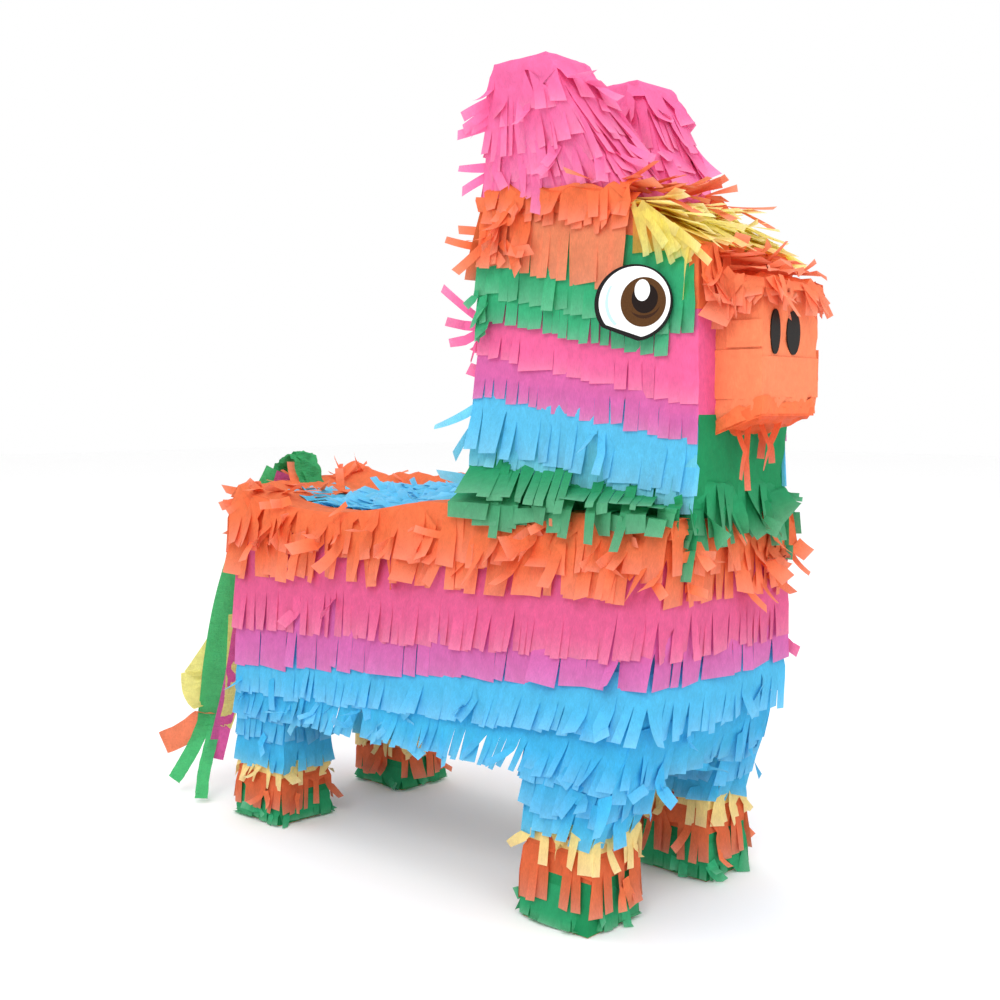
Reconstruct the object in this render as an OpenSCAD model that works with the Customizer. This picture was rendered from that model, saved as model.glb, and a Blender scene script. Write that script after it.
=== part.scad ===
// Donkey pinata: a hollow animal of cut cardboard panels, covered with rows of fringed tissue paper.
// The nose points along +X, the animal's left side is +Y, and it stands on Z = 0.

/* [Cardboard] */
// Thickness of the corrugated cardboard
board = 3; // [2:0.5:4]
// Thickness of the thin card of the muzzle and ears
card = 1.5; // [1:0.5:2]
// Glue gap between two pieces
gap = 0.2; // [0.1:0.1:0.3]

/* [Body] */
// Half width of the body at the floor
foot_half = 67; // [64:1:70]
// Half width lost for each millimetre of height
side_lean = 0.098; // [0.08:0.002:0.11]
// Height of the underside of the belly
belly_z = 87; // [84:1:90]
// Height of the back at its two ends
back_z = 194; // [190:1:198]
// Depth of the dip in the back
sway = 10; // [3:1:11]
// Rear end of the body at the belly
rump_low_x = -142; // [-144:1:-140]
// Rear end of the body at the back
rump_top_x = -158; // [-160:1:-154]
// Front of the chest at its lower edge
chest_low_x = 159; // [157:1:161]
// Height of the chest's lower edge, where it turns in towards the legs
chest_low_z = 112; // [108:1:118]
// Front of the chest at the back
chest_top_x = 166; // [165:1:168]

/* [Legs] */
// Front face of the front legs
front_leg_x = 135; // [132:1:138]
// Rear face of the rear legs
rear_leg_x = -138; // [-140:1:-136]
// Length of each leg along the body
leg_l = 40; // [36:1:44]
// Height where the front of the front legs starts to slope out to the chest
knee_z = 48; // [44:1:56]
// Distance from the middle to the inner face of a leg
leg_in = 30.5; // [28:0.5:33]

/* [Head] */
// Half width of the neck and head
head_half = 36; // [34:1:38]
// Depth of the neck below the top of the back
neck_tuck = 14; // [10:1:16]
// Half width of the muzzle
muzzle_half = 22; // [20:1:24]
// Front of the muzzle
muzzle_x = 195; // [190:1:198]
// Top of the ears
ear_z = 411; // [400:1:420]

/* [Filling flap] */
// Rear end of the flap, where it is hinged
flap_x0 = -117; // [-120:1:-110]
// Front end of the flap
flap_x1 = 4; // [0:1:5]
// Half width of the flap
flap_half = 27; // [22:1:30]
// Radius of each hanging hole
hanging_hole_r = 3; // [2:0.5:4]
// Distance of each hanging hole from the middle
hanging_hole_y = 12; // [9:1:15]

/* [Paper covering] */
// Thickness of the fringe on the legs
leg_fringe = 3.5; // [2:0.5:4]
// Thickness of the fringe on the body at the back
top_fringe = 2.5; // [2:0.5:3]
// Thickness of the fringe on the body at its lower edge
skirt_fringe = 9; // [6:0.5:10]
// Thickness of the fringe on the head and neck
head_fringe = 3.5; // [2:0.5:4]
// Width of the widest tail streamer
streamer_w = 19; // [14:1:22]

/* [Hidden] */
SIDES = ["right", "left"];

ORANGE = [1, 0.45, 0.27];
SALMON = [0.93, 0.5, 0.38];
YELLOW = [1, 0.88, 0.42];
GREEN = [0.1, 0.62, 0.38];
PINK = [0.95, 0.36, 0.6];
MAUVE = [0.86, 0.42, 0.68];
BLUE = [0.3, 0.7, 0.92];
HOT_PINK = [0.98, 0.42, 0.67];
KRAFT = [0.72, 0.55, 0.38];

clear = 0.1;                      // air between a paper skin and the cardboard under it
far = 400;                        // reaches past the object on every side
lean = atan(side_lean);
foot_z = board + 0.4;             // lower edge of the side panels, on the soles
belly_top = belly_z + board;
sway_x1 = flap_x1 + 1;            // the back is level from here to the chest
hanger_x = flap_x1 + 14;
skirt_z = 78;                     // lower edge of the body's fringe
end_fringe = 4;                   // thickness of the fringe on the chest and rump
cover_z = back_z + top_fringe;
wrap = 2;                         // thickness of the orange paper round the muzzle
patch = 0.5;                      // thickness of the nostril patches
hinge_room = 5;                   // room behind the flap for its fringe to swing into
eye_tilt = 12;                    // the eye's rear edge stands out from the fringe
nostril_z = 279;
eye_x = 140.5;
eye_z = 292.8;
eye_w = 39;
eye_h = 35;
eye_cut = 15.3;                   // from the eye's middle to its straight lower edge
tail_z = 203;                     // where the streamers start, behind the rump
root_z = back_at(-151) + top_fringe + clear;

// Corners of the head in side view: nape, crown, brow, nose and chin
nape = [30, back_z - neck_tuck];
crown = [42, 348];
brow = [136, 337];
nose = [171, 316];
chin = [172, 233];
throat_x = 169;                   // front of the neck where it meets the chest

// Footprint of an ear on the crown, and its top, as [x0, x1, y0, y1]
ear_low = [42, 128, 6, 33];
ear_top = [63, 91, 24, 47];

// Upper and lower edge of the muzzle at the face, and at its front
muzzle_x0 = 173;
muzzle_face = [237, 304];
muzzle_front = [246, 299];

// Colour borders of the body rows: height at the rump and at the chest
orange_row = [143, 158];
pink_row = [111, 130];
mauve_row = [90, 118];
row_x = [-144, 162];

// Colour borders of the head rows: height at the nape and at the face
head_orange_row = [319, 290];
head_green_row = [292, 263];
head_pink_row = [272, 246];
head_mauve_row = [251, 229];
head_blue_row = [216, 208];
head_row_x = [35, 175];

// Colour borders of the leg rows, front legs and rear legs
leg_rows_front = [0.8, 12, 26, 41, 77.8];
leg_rows_rear = [0.8, 8, 19, 30, 77.8];

// Outer half width of the side panels at height z
function half_at(z) = foot_half - side_lean * z;

// X on the straight line between two [x, z] points of the side view, at height z
function line_at(z, p, q) = p[0] + (q[0] - p[0]) * (z - p[1]) / (q[1] - p[1]);
function rump_at(z) = line_at(z, [rump_low_x, belly_top], [rump_top_x, back_z]);
function shin_at(z) = line_at(max(z, foot_z), [rear_leg_x, foot_z], [rump_low_x, belly_top]);
function chest_at(z) = line_at(z, [chest_low_x, chest_low_z], [chest_top_x, back_z]);
function front_at(z) = z < knee_z ? front_leg_x
    : line_at(z, [front_leg_x, knee_z], [chest_low_x, chest_low_z]);

// Height of the top of the back at x: a shallow dip behind the neck
function back_at(x) = x > sway_x1 ? back_z
    : back_z - sway * sin(180 * (x - rump_top_x) / (sway_x1 - rump_top_x));
function steps(a, b, n) = [for (i = [0:n]) a + (b - a) * i / n];

// Side view of the neck and head above z0, grown outwards by d; the face is first, the nape last
function head_outline(d, z0) = [
    [throat_x + d, z0], chin + [d, 0], nose + [d, 0.4 * d], brow + [0.4 * d, d], crown + [-d, d],
    [nape_at(z0) - d, z0]
];

// Side view of the body from z0 to rise above the dipped back, grown outwards by d
function body_outline(d, z0, rise) = concat(
    [[rump_low_x - d, belly_top], [shin_at(z0) - d, z0], [front_at(z0) + d, z0],
     [chest_low_x + d, chest_low_z],
     [chest_at(back_z + rise) + d, back_z + rise]],
    [for (x = steps(sway_x1, rump_top_x, 24)) [x, back_at(x) + rise]],
    [[rump_at(back_z + rise) - d, back_z + rise]]);

// Side view of a leg between two heights, grown outwards by d at its front and rear
function leg_outline(rear, d, z0, z1) = rear
    ? [[shin_at(z0) - d, z0], [rear_leg_x + leg_l + d, z0], [rear_leg_x + leg_l + d, z1],
       [shin_at(z1) - d, z1]]
    : [[front_leg_x - leg_l - d, z0], [front_at(z0) + d, z0],
       for (z = [knee_z]) if (z > z0 && z < z1) [front_at(z) + d, z],
       [front_at(z1) + d, z1], [front_leg_x - leg_l - d, z1]];

// Height of the top of the head at x
function crown_at(x) = crown[1] + (x - crown[0]) * (brow[1] - crown[1]) / (brow[0] - crown[0]);
function nape_at(z) = line_at(z, nape, crown);

// A solid with level top and bottom faces, each given as [x0, x1, y0, y1, z]
module block(low, top)
    polyhedron(
        points = [for (b = [low, top], p = [[b[0], b[2]], [b[1], b[2]], [b[1], b[3]], [b[0], b[3]]])
            [p[0], p[1], b[4]]],
        faces = [[0, 1, 2, 3], [7, 6, 5, 4], [0, 4, 5, 1], [1, 5, 6, 2], [2, 6, 7, 3], [3, 7, 4, 0]]);

// Everything between the two leaning sides, grown outwards by d0 at z0 and by d1 at z1
module between_sides(d0, d1, z0, z1)
    block([-far, far, -half_at(z0) - d0, half_at(z0) + d0, z0],
          [-far, far, -half_at(z1) - d1, half_at(z1) + d1, z1]);

// An outline in side view, given as [x, z] points, made solid from y0 to y1
module upright(outline, y0, y1)
    translate([0, y1, 0]) rotate([90, 0, 0]) linear_extrude(y1 - y0) polygon(outline);

// A strip of board from p to q in side view, with its thickness on the inner side
module strip(p, q, thick, half, trim_p = 0, trim_q = 0) {
    len = norm(q - p);
    along = (q - p) / len;
    inward = [along[1], -along[0]];
    a = p + trim_p * along;
    b = q - trim_q * along;
    upright([a, b, b + thick * inward, a + thick * inward], -half, half);
}

// Builds on the right, or its mirror image on the left
module on_side(side)
    if (side == "left") mirror([0, 1, 0]) children();
    else children();

// One flat panel per side: body, and the outer faces of two legs. It leans inwards.
module body_side(side) {
    back = [for (x = steps(chest_top_x, rump_top_x, 24)) [x, back_at(x)]];
    outline = concat(
        [[rear_leg_x, foot_z], [rear_leg_x + leg_l, foot_z], [rear_leg_x + leg_l, belly_top],
         [front_leg_x - leg_l, belly_top], [front_leg_x - leg_l, foot_z], [front_leg_x, foot_z],
         [front_leg_x, knee_z], [chest_low_x, chest_low_z]],
        back, [[rump_low_x, belly_top]]);
    color(KRAFT) on_side(side)
        translate([0, -foot_half, 0]) rotate([90 - lean, 0, 0]) translate([0, 0, -board])
            linear_extrude(board) polygon([for (p = outline) [p[0], p[1] / cos(lean)]]);
}

// A board across the body between the side panels; front is its outer face's X at z0 and at z1
module cross_board(front, z0, z1) {
    a = half_at(z0) - board - 2 * gap;
    b = half_at(z1) - board - 2 * gap;
    block([front[0] - board, front[0], -a, a, z0], [front[1] - board, front[1], -b, b, z1]);
}

// The breast, the chest, and above them the narrower front of the neck and face
module front_panel() color(KRAFT) {
    z0 = belly_top + gap;
    z1 = back_z - 0.5;
    cross_board([front_at(z0), chest_low_x], z0, chest_low_z);
    cross_board([chest_low_x, chest_top_x], chest_low_z, z1);
    neck = head_half - board - gap;
    front = [[chest_top_x, z1], [throat_x, back_z + gap], chin, nose - [0, board]];
    inner = [for (i = [3:-1:0]) front[i] - [board, 0]];
    upright(concat(front, inner), -neck, neck);
}

module rump_panel()
    color(KRAFT) cross_board([rump_low_x + board, rump_top_x + board], belly_top + gap, back_z - 0.5);

module belly_panel() color(KRAFT) {
    low = half_at(belly_z) - board - 2 * gap;
    top = half_at(belly_top) - board - 2 * gap;
    block([rump_low_x, front_at(belly_z), -low, low, belly_z],
          [rump_low_x, front_at(belly_top), -top, top, belly_top]);
}

// A stretch of the dipped back, as thick as the board, raised by lift
module back_strip(x0, x1, lift, thick, half) {
    xs = steps(x0, x1, 24);
    upper = [for (x = xs) [x, back_at(x) + lift + thick]];
    lower = [for (i = [24:-1:0]) [xs[i], back_at(xs[i]) + lift]];
    upright(concat(lower, [for (p = upper) p]), -half, half);
}

module hanging_holes(z0, z1)
    for (y = [-hanging_hole_y, hanging_hole_y])
        translate([hanger_x, y, z0]) cylinder(h = z1 - z0, r = hanging_hole_r, $fn = 48);

// The back, with the filling opening, the neck opening and two hanging holes
module back_panel() color(KRAFT) difference() {
    half = half_at(back_z) - board - 3 * gap;
    back_strip(rump_top_x + board + 1, chest_top_x - board - 2 * gap, -board, board, half);
    translate([flap_x0 - 0.3, -flap_half - 0.3, back_z - 40])
        cube([flap_x1 - flap_x0 + 0.6, 2 * flap_half + 0.6, 80]);
    translate([nape[0] - gap, -head_half - gap, back_z - 40])
        cube([far, 2 * (head_half + gap), 80]);
    hanging_holes(back_z - 20, back_z + 20);
}

// A channel of folded board: the front, inner and rear walls of one leg
module leg(side, rear) color(KRAFT) on_side(side) intersection() {
    difference() {
        upright(leg_outline(rear, 0, board + gap, belly_z - gap), -far, -leg_in);
        upright(leg_outline(rear, -board, 0, belly_top), -far, -leg_in - board);
    }
    between_sides(-board - 2 * gap, -board - 2 * gap, 0, belly_top);
}

module sole(side, rear) {
    x1 = rear ? rear_leg_x + leg_l : front_leg_x;
    color(KRAFT) on_side(side)
        translate([x1 - leg_l, -half_at(board), 0]) cube([leg_l, half_at(board) - leg_in, board]);
}

// One flat panel per side of the neck and head, tucked into the neck opening
module head_side(side) color(KRAFT) on_side(side) {
    tuck_z = back_z - neck_tuck;
    neck_x = chest_at(tuck_z) - board - gap;
    upright(concat(head_outline(0, back_z + gap), [[nape_at(tuck_z), tuck_z], [neck_x, tuck_z],
            [neck_x, back_z + gap]]), -head_half, -head_half + board);
}

module nape_panel()
    color(KRAFT) strip(nape, crown, board, head_half - board - gap, 0.5, board + 0.5);

module crown_panel()
    color(KRAFT) strip(crown, brow, board, head_half - board - gap, 0, 1.2);

module forehead_panel()
    color(KRAFT) strip(brow, nose, board, head_half - board - gap, 1.2, 2.8);

// Side view of the muzzle, grown outwards by d and reaching 3 mm further back if deep
function muzzle_outline(d, deep = false) = concat(
    [[muzzle_x0, muzzle_face[0] - d], [muzzle_x + d, muzzle_front[0] - d],
     [muzzle_x + d, muzzle_front[1] + d], [muzzle_x0, muzzle_face[1] + d]],
    deep ? [[muzzle_x0 - 3, muzzle_face[1] + d], [muzzle_x0 - 3, muzzle_face[0] - d]] : []);

module muzzle_box() color(KRAFT) difference() {
    upright(muzzle_outline(0), -muzzle_half, muzzle_half);
    upright(muzzle_outline(-card, true), -muzzle_half + card, muzzle_half - card);
}

// The orange paper wrapped round the muzzle
module muzzle_wrap() color(ORANGE) difference() {
    upright(muzzle_outline(wrap), -muzzle_half - wrap, muzzle_half + wrap);
    upright(muzzle_outline(clear, true), -muzzle_half - clear, muzzle_half + clear);
}

// An upright oval outline, w wide and h high
function oval(w, h) = [for (a = [0:7.5:352.5]) [w / 2 * cos(a), h / 2 * sin(a)]];

// An upright black oval on the muzzle, w wide and y from the middle
module nostril(y, w) color("black")
    translate([muzzle_x + wrap, y, nostril_z]) rotate([90, 0, 90]) linear_extrude(patch) polygon(oval(w, 20));

// The hollow ear tapers from the crown to its top; grown outwards by d
module ear_block(d, z_low, z_top) hull() {
    for (x = [ear_low[0] - d, ear_low[1] + d])
        translate([x - 0.05, -ear_low[3] - d, crown_at(x) + z_low])
            cube([0.1, ear_low[3] - ear_low[2] + 2 * d, 0.1]);
    translate([ear_top[0] - d, -ear_top[3] - d, z_top - 0.1])
        cube([ear_top[1] - ear_top[0] + 2 * d, ear_top[3] - ear_top[2] + 2 * d, 0.1]);
}

module ear(side) color(KRAFT) on_side(side) difference() {
    ear_block(0, gap, ear_z);
    ear_block(-card, -1, ear_z - card);
}

module ear_fringe(side) color(HOT_PINK) on_side(side) difference() {
    ear_block(2.8, 4, ear_z + 3);
    ear_block(clear, gap, ear_z + clear);
}

// Stiffening plate under the back, where a hanging cord would pull
module hanger_plate() color(KRAFT) difference() {
    translate([hanger_x - 8, -22, back_z - board - gap - 4]) cube([16, 44, 4]);
    hanging_holes(back_z - 20, back_z);
}

// Cut out of the back and scored along its rear end, where it bends
module fill_flap() color(KRAFT) back_strip(flap_x0, flap_x1, -board, board, flap_half);

module flap_fringe() color(BLUE) back_strip(flap_x0 + 3, flap_x1, clear, 2.2, flap_half);

// Orange paper over the back, open round the flap, the neck and the hanging holes
module back_cover() color(ORANGE) difference() {
    back_strip(rump_top_x, chest_top_x - board, clear + gap, top_fringe - clear - gap, half_at(back_z) - 0.5);
    translate([flap_x0 - hinge_room, -flap_half - 1.5, back_z - 40])
        cube([flap_x1 - flap_x0 + hinge_room + 2, 2 * flap_half + 3, 80]);
    translate([nape[0] - 0.3, -head_half - 0.3, back_z - 40]) cube([far, 2 * head_half + 0.6, 80]);
    hanging_holes(back_z - 20, back_z + 20);
}

// The paper skin round the four sides of the body, thicker towards its lower edge
module body_skin() difference() {
    intersection() {
        between_sides(skirt_fringe, top_fringe, skirt_z, cover_z);
        upright(body_outline(end_fringe, skirt_z, top_fringe), -far, far);
    }
    intersection() {
        between_sides(clear, clear, skirt_z - 10, cover_z + 10);
        upright(body_outline(clear, skirt_z - 10, 10), -far, far);
    }
    translate([nape[0], -head_half - 0.3, back_z - 1]) cube([far, 2 * head_half + 0.6, far]);
}

// The part of its children between two rows, each given as heights at xs[0] and xs[1]
module between_rows(low, top, xs) {
    function rise(row) = (row[1] - row[0]) / (xs[1] - xs[0]);
    function row_z(row, x) = row[0] + rise(row) * (x - xs[0]);
    intersection() {
        children();
        upright([[-far, row_z(low, -far)], [far, row_z(low, far)], [far, row_z(top, far)],
                 [-far, row_z(top, -far)]], -far, far);
    }
}

module body_row(low, top, tint) color(tint) between_rows(low, top, row_x) body_skin();

module body_fringe_orange() body_row(orange_row, [far, far], ORANGE);
module body_fringe_pink() body_row(pink_row, orange_row, PINK);
module body_fringe_mauve() body_row(mauve_row, pink_row, MAUVE);
module body_fringe_blue() body_row([0, 0], mauve_row, BLUE);

// A band of fringe round one leg, on its three walls and the side panel's outer face
module leg_band(side, rear, z0, z1) on_side(side) difference() {
    intersection() {
        upright(leg_outline(rear, leg_fringe, z0, z1), -far, -leg_in + leg_fringe);
        between_sides(leg_fringe, leg_fringe, z0, z1);
    }
    intersection() {
        upright(leg_outline(rear, clear, z0 - 1, z1 + 1), -far, -leg_in + clear);
        between_sides(clear, clear, z0 - 1, z1 + 1);
    }
}

module leg_bands(i, tint) color(tint) {
    for (side = SIDES) {
        leg_band(side, false, leg_rows_front[i], leg_rows_front[i + 1]);
        leg_band(side, true, leg_rows_rear[i], leg_rows_rear[i + 1]);
    }
}

module leg_fringe_green() leg_bands(0, GREEN);
module leg_fringe_orange() leg_bands(1, SALMON);
module leg_fringe_yellow() leg_bands(2, YELLOW);
module leg_fringe_blue() leg_bands(3, BLUE);

// The paper skin round the neck and head, open at the muzzle and under the ears
module head_skin(half_out) difference() {
    half_in = head_half + clear;
    upright(head_outline(head_fringe, cover_z + 0.3), -half_out, half_out);
    upright(head_outline(clear, back_z - 5), -half_in, half_in);
    hole = muzzle_half + wrap + clear;
    upright(muzzle_outline(wrap + clear, true), -hole, hole);
    for (side = SIDES) on_side(side) ear_block(3, -3, ear_z + 10);
}

module head_row(low, top, tint)
    color(tint) between_rows(low, top, head_row_x) head_skin(head_half + head_fringe);

// Everything in front of this plane on the forehead is the yellow fringe
module forehead_zone() upright([[139, 318], [139, far], [190, far], [190, 311], [172, 311]], -far, far);

module head_fringe_orange() difference() {
    head_row(head_orange_row, [far, far], SALMON);
    forehead_zone();
}
module forehead_fringe_yellow() color(YELLOW) intersection() {
    head_skin(head_half + head_fringe);
    forehead_zone();
}
module head_fringe_green() difference() {
    head_row(head_green_row, head_orange_row, GREEN);
    forehead_zone();
}
module head_fringe_pink() head_row(head_pink_row, head_green_row, PINK);
module head_fringe_mauve() head_row(head_mauve_row, head_pink_row, MAUVE);
module head_fringe_blue() head_row(head_blue_row, head_mauve_row, BLUE);
module neck_fringe_green() head_row([0, 0], head_blue_row, GREEN);

// A printed oval eye cut straight below, stuck on the fringe with its rear edge standing out
module eye(side) color("white") on_side(side)
    translate([eye_x, -head_half - head_fringe - 0.3, eye_z]) rotate([90, 0, eye_tilt])
        translate([0, 0, 4]) linear_extrude(1) difference() {
            polygon(oval(eye_w, eye_h));
            rotate(-20) translate([-eye_w / 2, -eye_cut - 10]) square([eye_w, 10]);
        }

// A crepe streamer: a flat ribbon that follows the points, each [x, y, z], thick along X
module streamer(points, w, t)
    polyhedron(
        points = [for (p = points, c = [[0, -w / 2], [t, -w / 2], [t, w / 2], [0, w / 2]])
            [p[0] + c[0], p[1] + c[1], p[2]]],
        faces = concat(
            [[3, 2, 1, 0], [for (k = [0:3]) 4 * (len(points) - 1) + k]],
            [for (i = [0:len(points) - 2], k = [0:3])
                [4 * i + k, 4 * i + (k + 1) % 4, 4 * i + 4 + (k + 1) % 4, 4 * i + 4 + k]]));

green_route = [[-172, -8, 203], [-176, -20, 180], [-178, -34, 150], [-180, -44, 118], [-181, -50, 85],
               [-180, -54, 55], [-179, -57, 28], [-180, -59, 8]];
yellow_route = [[-176, -4, 202], [-182, -16, 176], [-186, -30, 146], [-189, -42, 116], [-192, -50, 88],
                [-194, -54, 60]];
orange_route = [[-180, 0, 201], [-187, -12, 172], [-191, -28, 140], [-194, -42, 108], [-196, -50, 78],
                [-198, -56, 40]];
pink_route = [[-168.5, -6, 202], [-170, -16, 176], [-171, -28, 146], [-171, -38, 112], [-171, -46, 76],
              [-171, -52, 44], [-172, -56, 12]];

module tail_green() color(GREEN) streamer(green_route, streamer_w, 0.8);
module tail_yellow() color(YELLOW) streamer(yellow_route, 15, 0.8);
module tail_orange() color(ORANGE) streamer(orange_route, 15, 0.8);
module tail_pink() color(PINK) streamer(pink_route, 12, 0.8);

// The gathered crepe that is glued on the back and holds the streamers
module tail_root() color(GREEN)
    upright([[-151, root_z], [-143, back_at(-143) + top_fringe + clear], [-151, 212], [-162, 217],
             [-172, 213], [-179, tail_z + 0.5], [-167, tail_z + 0.5], [-163, 208], [-157, 204]], -9, 12);

body_side("right");  // body_side_right
body_side("left");  // body_side_left
front_panel();
rump_panel();
belly_panel();
back_panel();
leg("right", false);  // leg_front_right
leg("left", false);  // leg_front_left
leg("right", true);  // leg_rear_right
leg("left", true);  // leg_rear_left
sole("right", false);  // sole_front_right
sole("left", false);  // sole_front_left
sole("right", true);  // sole_rear_right
sole("left", true);  // sole_rear_left
head_side("right");  // head_side_right
head_side("left");  // head_side_left
nape_panel();
crown_panel();
forehead_panel();
muzzle_box();
ear("right");  // ear_right
ear("left");  // ear_left
hanger_plate();
fill_flap();
back_cover();
flap_fringe();
body_fringe_orange();
body_fringe_pink();
body_fringe_mauve();
body_fringe_blue();
leg_fringe_blue();
leg_fringe_yellow();
leg_fringe_orange();
leg_fringe_green();
head_fringe_orange();
head_fringe_green();
head_fringe_pink();
head_fringe_mauve();
head_fringe_blue();
neck_fringe_green();
forehead_fringe_yellow();
ear_fringe("right");  // ear_fringe_right
ear_fringe("left");  // ear_fringe_left
muzzle_wrap();
nostril(-13.5, 8);  // nostril_right
nostril(2, 11.5);  // nostril_left
eye("right");  // eye_right
eye("left");  // eye_left
tail_root();
tail_green();
tail_yellow();
tail_orange();
tail_pink();
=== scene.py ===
import math
import random

import bpy
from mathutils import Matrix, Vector, noise


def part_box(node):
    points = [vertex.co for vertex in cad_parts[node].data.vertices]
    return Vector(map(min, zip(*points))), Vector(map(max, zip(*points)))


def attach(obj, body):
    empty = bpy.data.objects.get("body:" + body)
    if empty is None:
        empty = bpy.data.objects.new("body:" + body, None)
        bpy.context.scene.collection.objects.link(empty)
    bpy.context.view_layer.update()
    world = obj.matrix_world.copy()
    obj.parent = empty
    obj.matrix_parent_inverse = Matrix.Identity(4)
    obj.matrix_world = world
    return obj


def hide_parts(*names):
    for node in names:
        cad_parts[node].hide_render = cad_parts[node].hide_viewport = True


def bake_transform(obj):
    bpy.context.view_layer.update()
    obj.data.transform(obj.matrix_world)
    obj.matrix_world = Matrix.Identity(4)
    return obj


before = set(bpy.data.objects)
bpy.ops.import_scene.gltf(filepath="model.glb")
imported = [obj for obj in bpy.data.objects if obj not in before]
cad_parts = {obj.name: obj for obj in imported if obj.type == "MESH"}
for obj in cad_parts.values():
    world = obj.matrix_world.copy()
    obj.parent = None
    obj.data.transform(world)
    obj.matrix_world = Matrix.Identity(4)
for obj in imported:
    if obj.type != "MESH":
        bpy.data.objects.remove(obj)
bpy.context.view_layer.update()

MM = 0.001
UP = Vector((0, 0, 1))


def srgb(r, g, b):
    def lin(c):
        c /= 255
        return c / 12.92 if c <= 0.04045 else ((c + 0.055) / 1.055) ** 2.4
    return Vector((lin(r), lin(g), lin(b)))


def put(thing, name):
    """A new object in the scene, made of a mesh, light or camera."""
    o = bpy.data.objects.new(name, thing)
    bpy.context.scene.collection.objects.link(o)
    return o


ORANGE = srgb(251, 126, 75)
# a darker orange, painted shade on the muzzle's underside, its gathered lower edge and the strips hanging
# under it
SHADED_ORANGE = srgb(244, 96, 48)
SALMON = srgb(252, 146, 104)
YELLOW = srgb(255, 244, 140)
STRAW = srgb(250, 226, 148)
GOLD = srgb(255, 196, 96)
GREEN = srgb(58, 188, 130)
DARK_GREEN = srgb(30, 158, 98)
PINK = srgb(240, 104, 158)
HOT_PINK = srgb(255, 112, 172)
EAR_PINK = srgb(255, 122, 182)
MAUVE = srgb(230, 112, 186)
BLUE = srgb(70, 194, 242)
LIGHT_BLUE = srgb(122, 220, 254)
MUZZLE_ORANGE = ORANGE.lerp(SALMON, 0.6)
LEG_ORANGE = srgb(234, 112, 66)
CREPE_GREEN = srgb(82, 196, 122)
CREPE_YELLOW = srgb(238, 230, 138)
CREPE_ORANGE = srgb(250, 138, 100)
CREPE_PINK = srgb(226, 96, 164)

# ---------------------------------------------------------------- materials


def node(tree, kind, **values):
    n = tree.nodes.new(kind)
    for key, value in values.items():
        if key in n.inputs:
            n.inputs[key].default_value = value
        else:
            setattr(n, key, value)
    return n


def new_material(name):
    m = bpy.data.materials.new(name)
    m.use_nodes = True
    m.node_tree.nodes.clear()
    return m, m.node_tree


def fibres(tree, scale, detail, rough):
    """Noise over the object's own coordinates, stretched by scale."""
    coord = node(tree, "ShaderNodeTexCoord")
    mapping = node(tree, "ShaderNodeMapping")
    mapping.inputs["Scale"].default_value = scale
    tree.links.new(coord.outputs["Object"], mapping.inputs["Vector"])
    texture = node(tree, "ShaderNodeTexNoise", Scale=1.0, Detail=detail, Roughness=rough)
    tree.links.new(mapping.outputs["Vector"], texture.inputs["Vector"])
    return texture.outputs["Fac"]


def maths(tree, operation, *inputs):
    n = node(tree, "ShaderNodeMath", operation=operation)
    for socket, value in zip(n.inputs, inputs):
        if isinstance(value, float):
            socket.default_value = value
        else:
            tree.links.new(value, socket)
    return n.outputs[0]


def two_tone(tree, amount, low, dark, high, light):
    """A ramp from the colour dark, at low, to the colour light, at high."""
    tones = node(tree, "ShaderNodeValToRGB")
    for element, position, colour in zip(tones.color_ramp.elements, (low, high), (dark, light)):
        element.position = position
        element.color = (*colour, 1)
    tree.links.new(amount, tones.inputs["Fac"])
    return tones.outputs["Color"]


def matte(tree, colour, rough, specular, height, strength, depth):
    """A surface with fine relief. Returns its shader, and its normals for another one."""
    bump = node(tree, "ShaderNodeBump", Strength=strength, Distance=depth)
    tree.links.new(height, bump.inputs["Height"])
    surface = node(tree, "ShaderNodeBsdfPrincipled", Roughness=rough)
    surface.inputs["Specular IOR Level"].default_value = specular
    tree.links.new(colour, surface.inputs["Base Color"])
    tree.links.new(bump.outputs[0], surface.inputs["Normal"])
    return surface.outputs[0], bump.outputs[0]


def output(tree, shader):
    out = node(tree, "ShaderNodeOutputMaterial")
    tree.links.new(shader, out.inputs["Surface"])


def tissue(name, glow=0.3, rough=0.72, wrinkle=0.35, crepe=0.0):
    """Thin dyed paper: cloudy fibres, fine wrinkles, and light coming through from behind."""
    m, tree = new_material(name)
    link = tree.links.new
    tint = node(tree, "ShaderNodeAttribute", attribute_name="tint")
    clouds = fibres(tree, (260, 260, 200), 5.0, 0.65)
    threads = fibres(tree, (2400, 2400, 420), 3.0, 0.6)
    shade = node(tree, "ShaderNodeMapRange")
    for socket, value in (("From Min", 0.12), ("From Max", 0.40), ("To Min", 0.86), ("To Max", 1.08)):
        shade.inputs[socket].default_value = value
    link(maths(tree, "MULTIPLY", clouds, threads), shade.inputs["Value"])
    colour = node(tree, "ShaderNodeVectorMath", operation="SCALE")
    link(tint.outputs["Color"], colour.inputs[0])
    link(shade.outputs[0], colour.inputs["Scale"])
    height = fibres(tree, (520, 520, 300), 4.0, 0.7)
    if crepe:
        height = maths(tree, "ADD", height, fibres(tree, (240, 240, 1900), 2.0, 0.5))
    surface, normals = matte(tree, colour.outputs[0], rough, 0.25, height, wrinkle + crepe, 0.8 * MM)
    through = node(tree, "ShaderNodeBsdfTranslucent")
    link(colour.outputs[0], through.inputs["Color"])
    link(normals, through.inputs["Normal"])
    mix = node(tree, "ShaderNodeMixShader", Fac=glow)
    link(surface, mix.inputs[1])
    link(through.outputs[0], mix.inputs[2])
    output(tree, mix.outputs[0])
    return m


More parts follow.
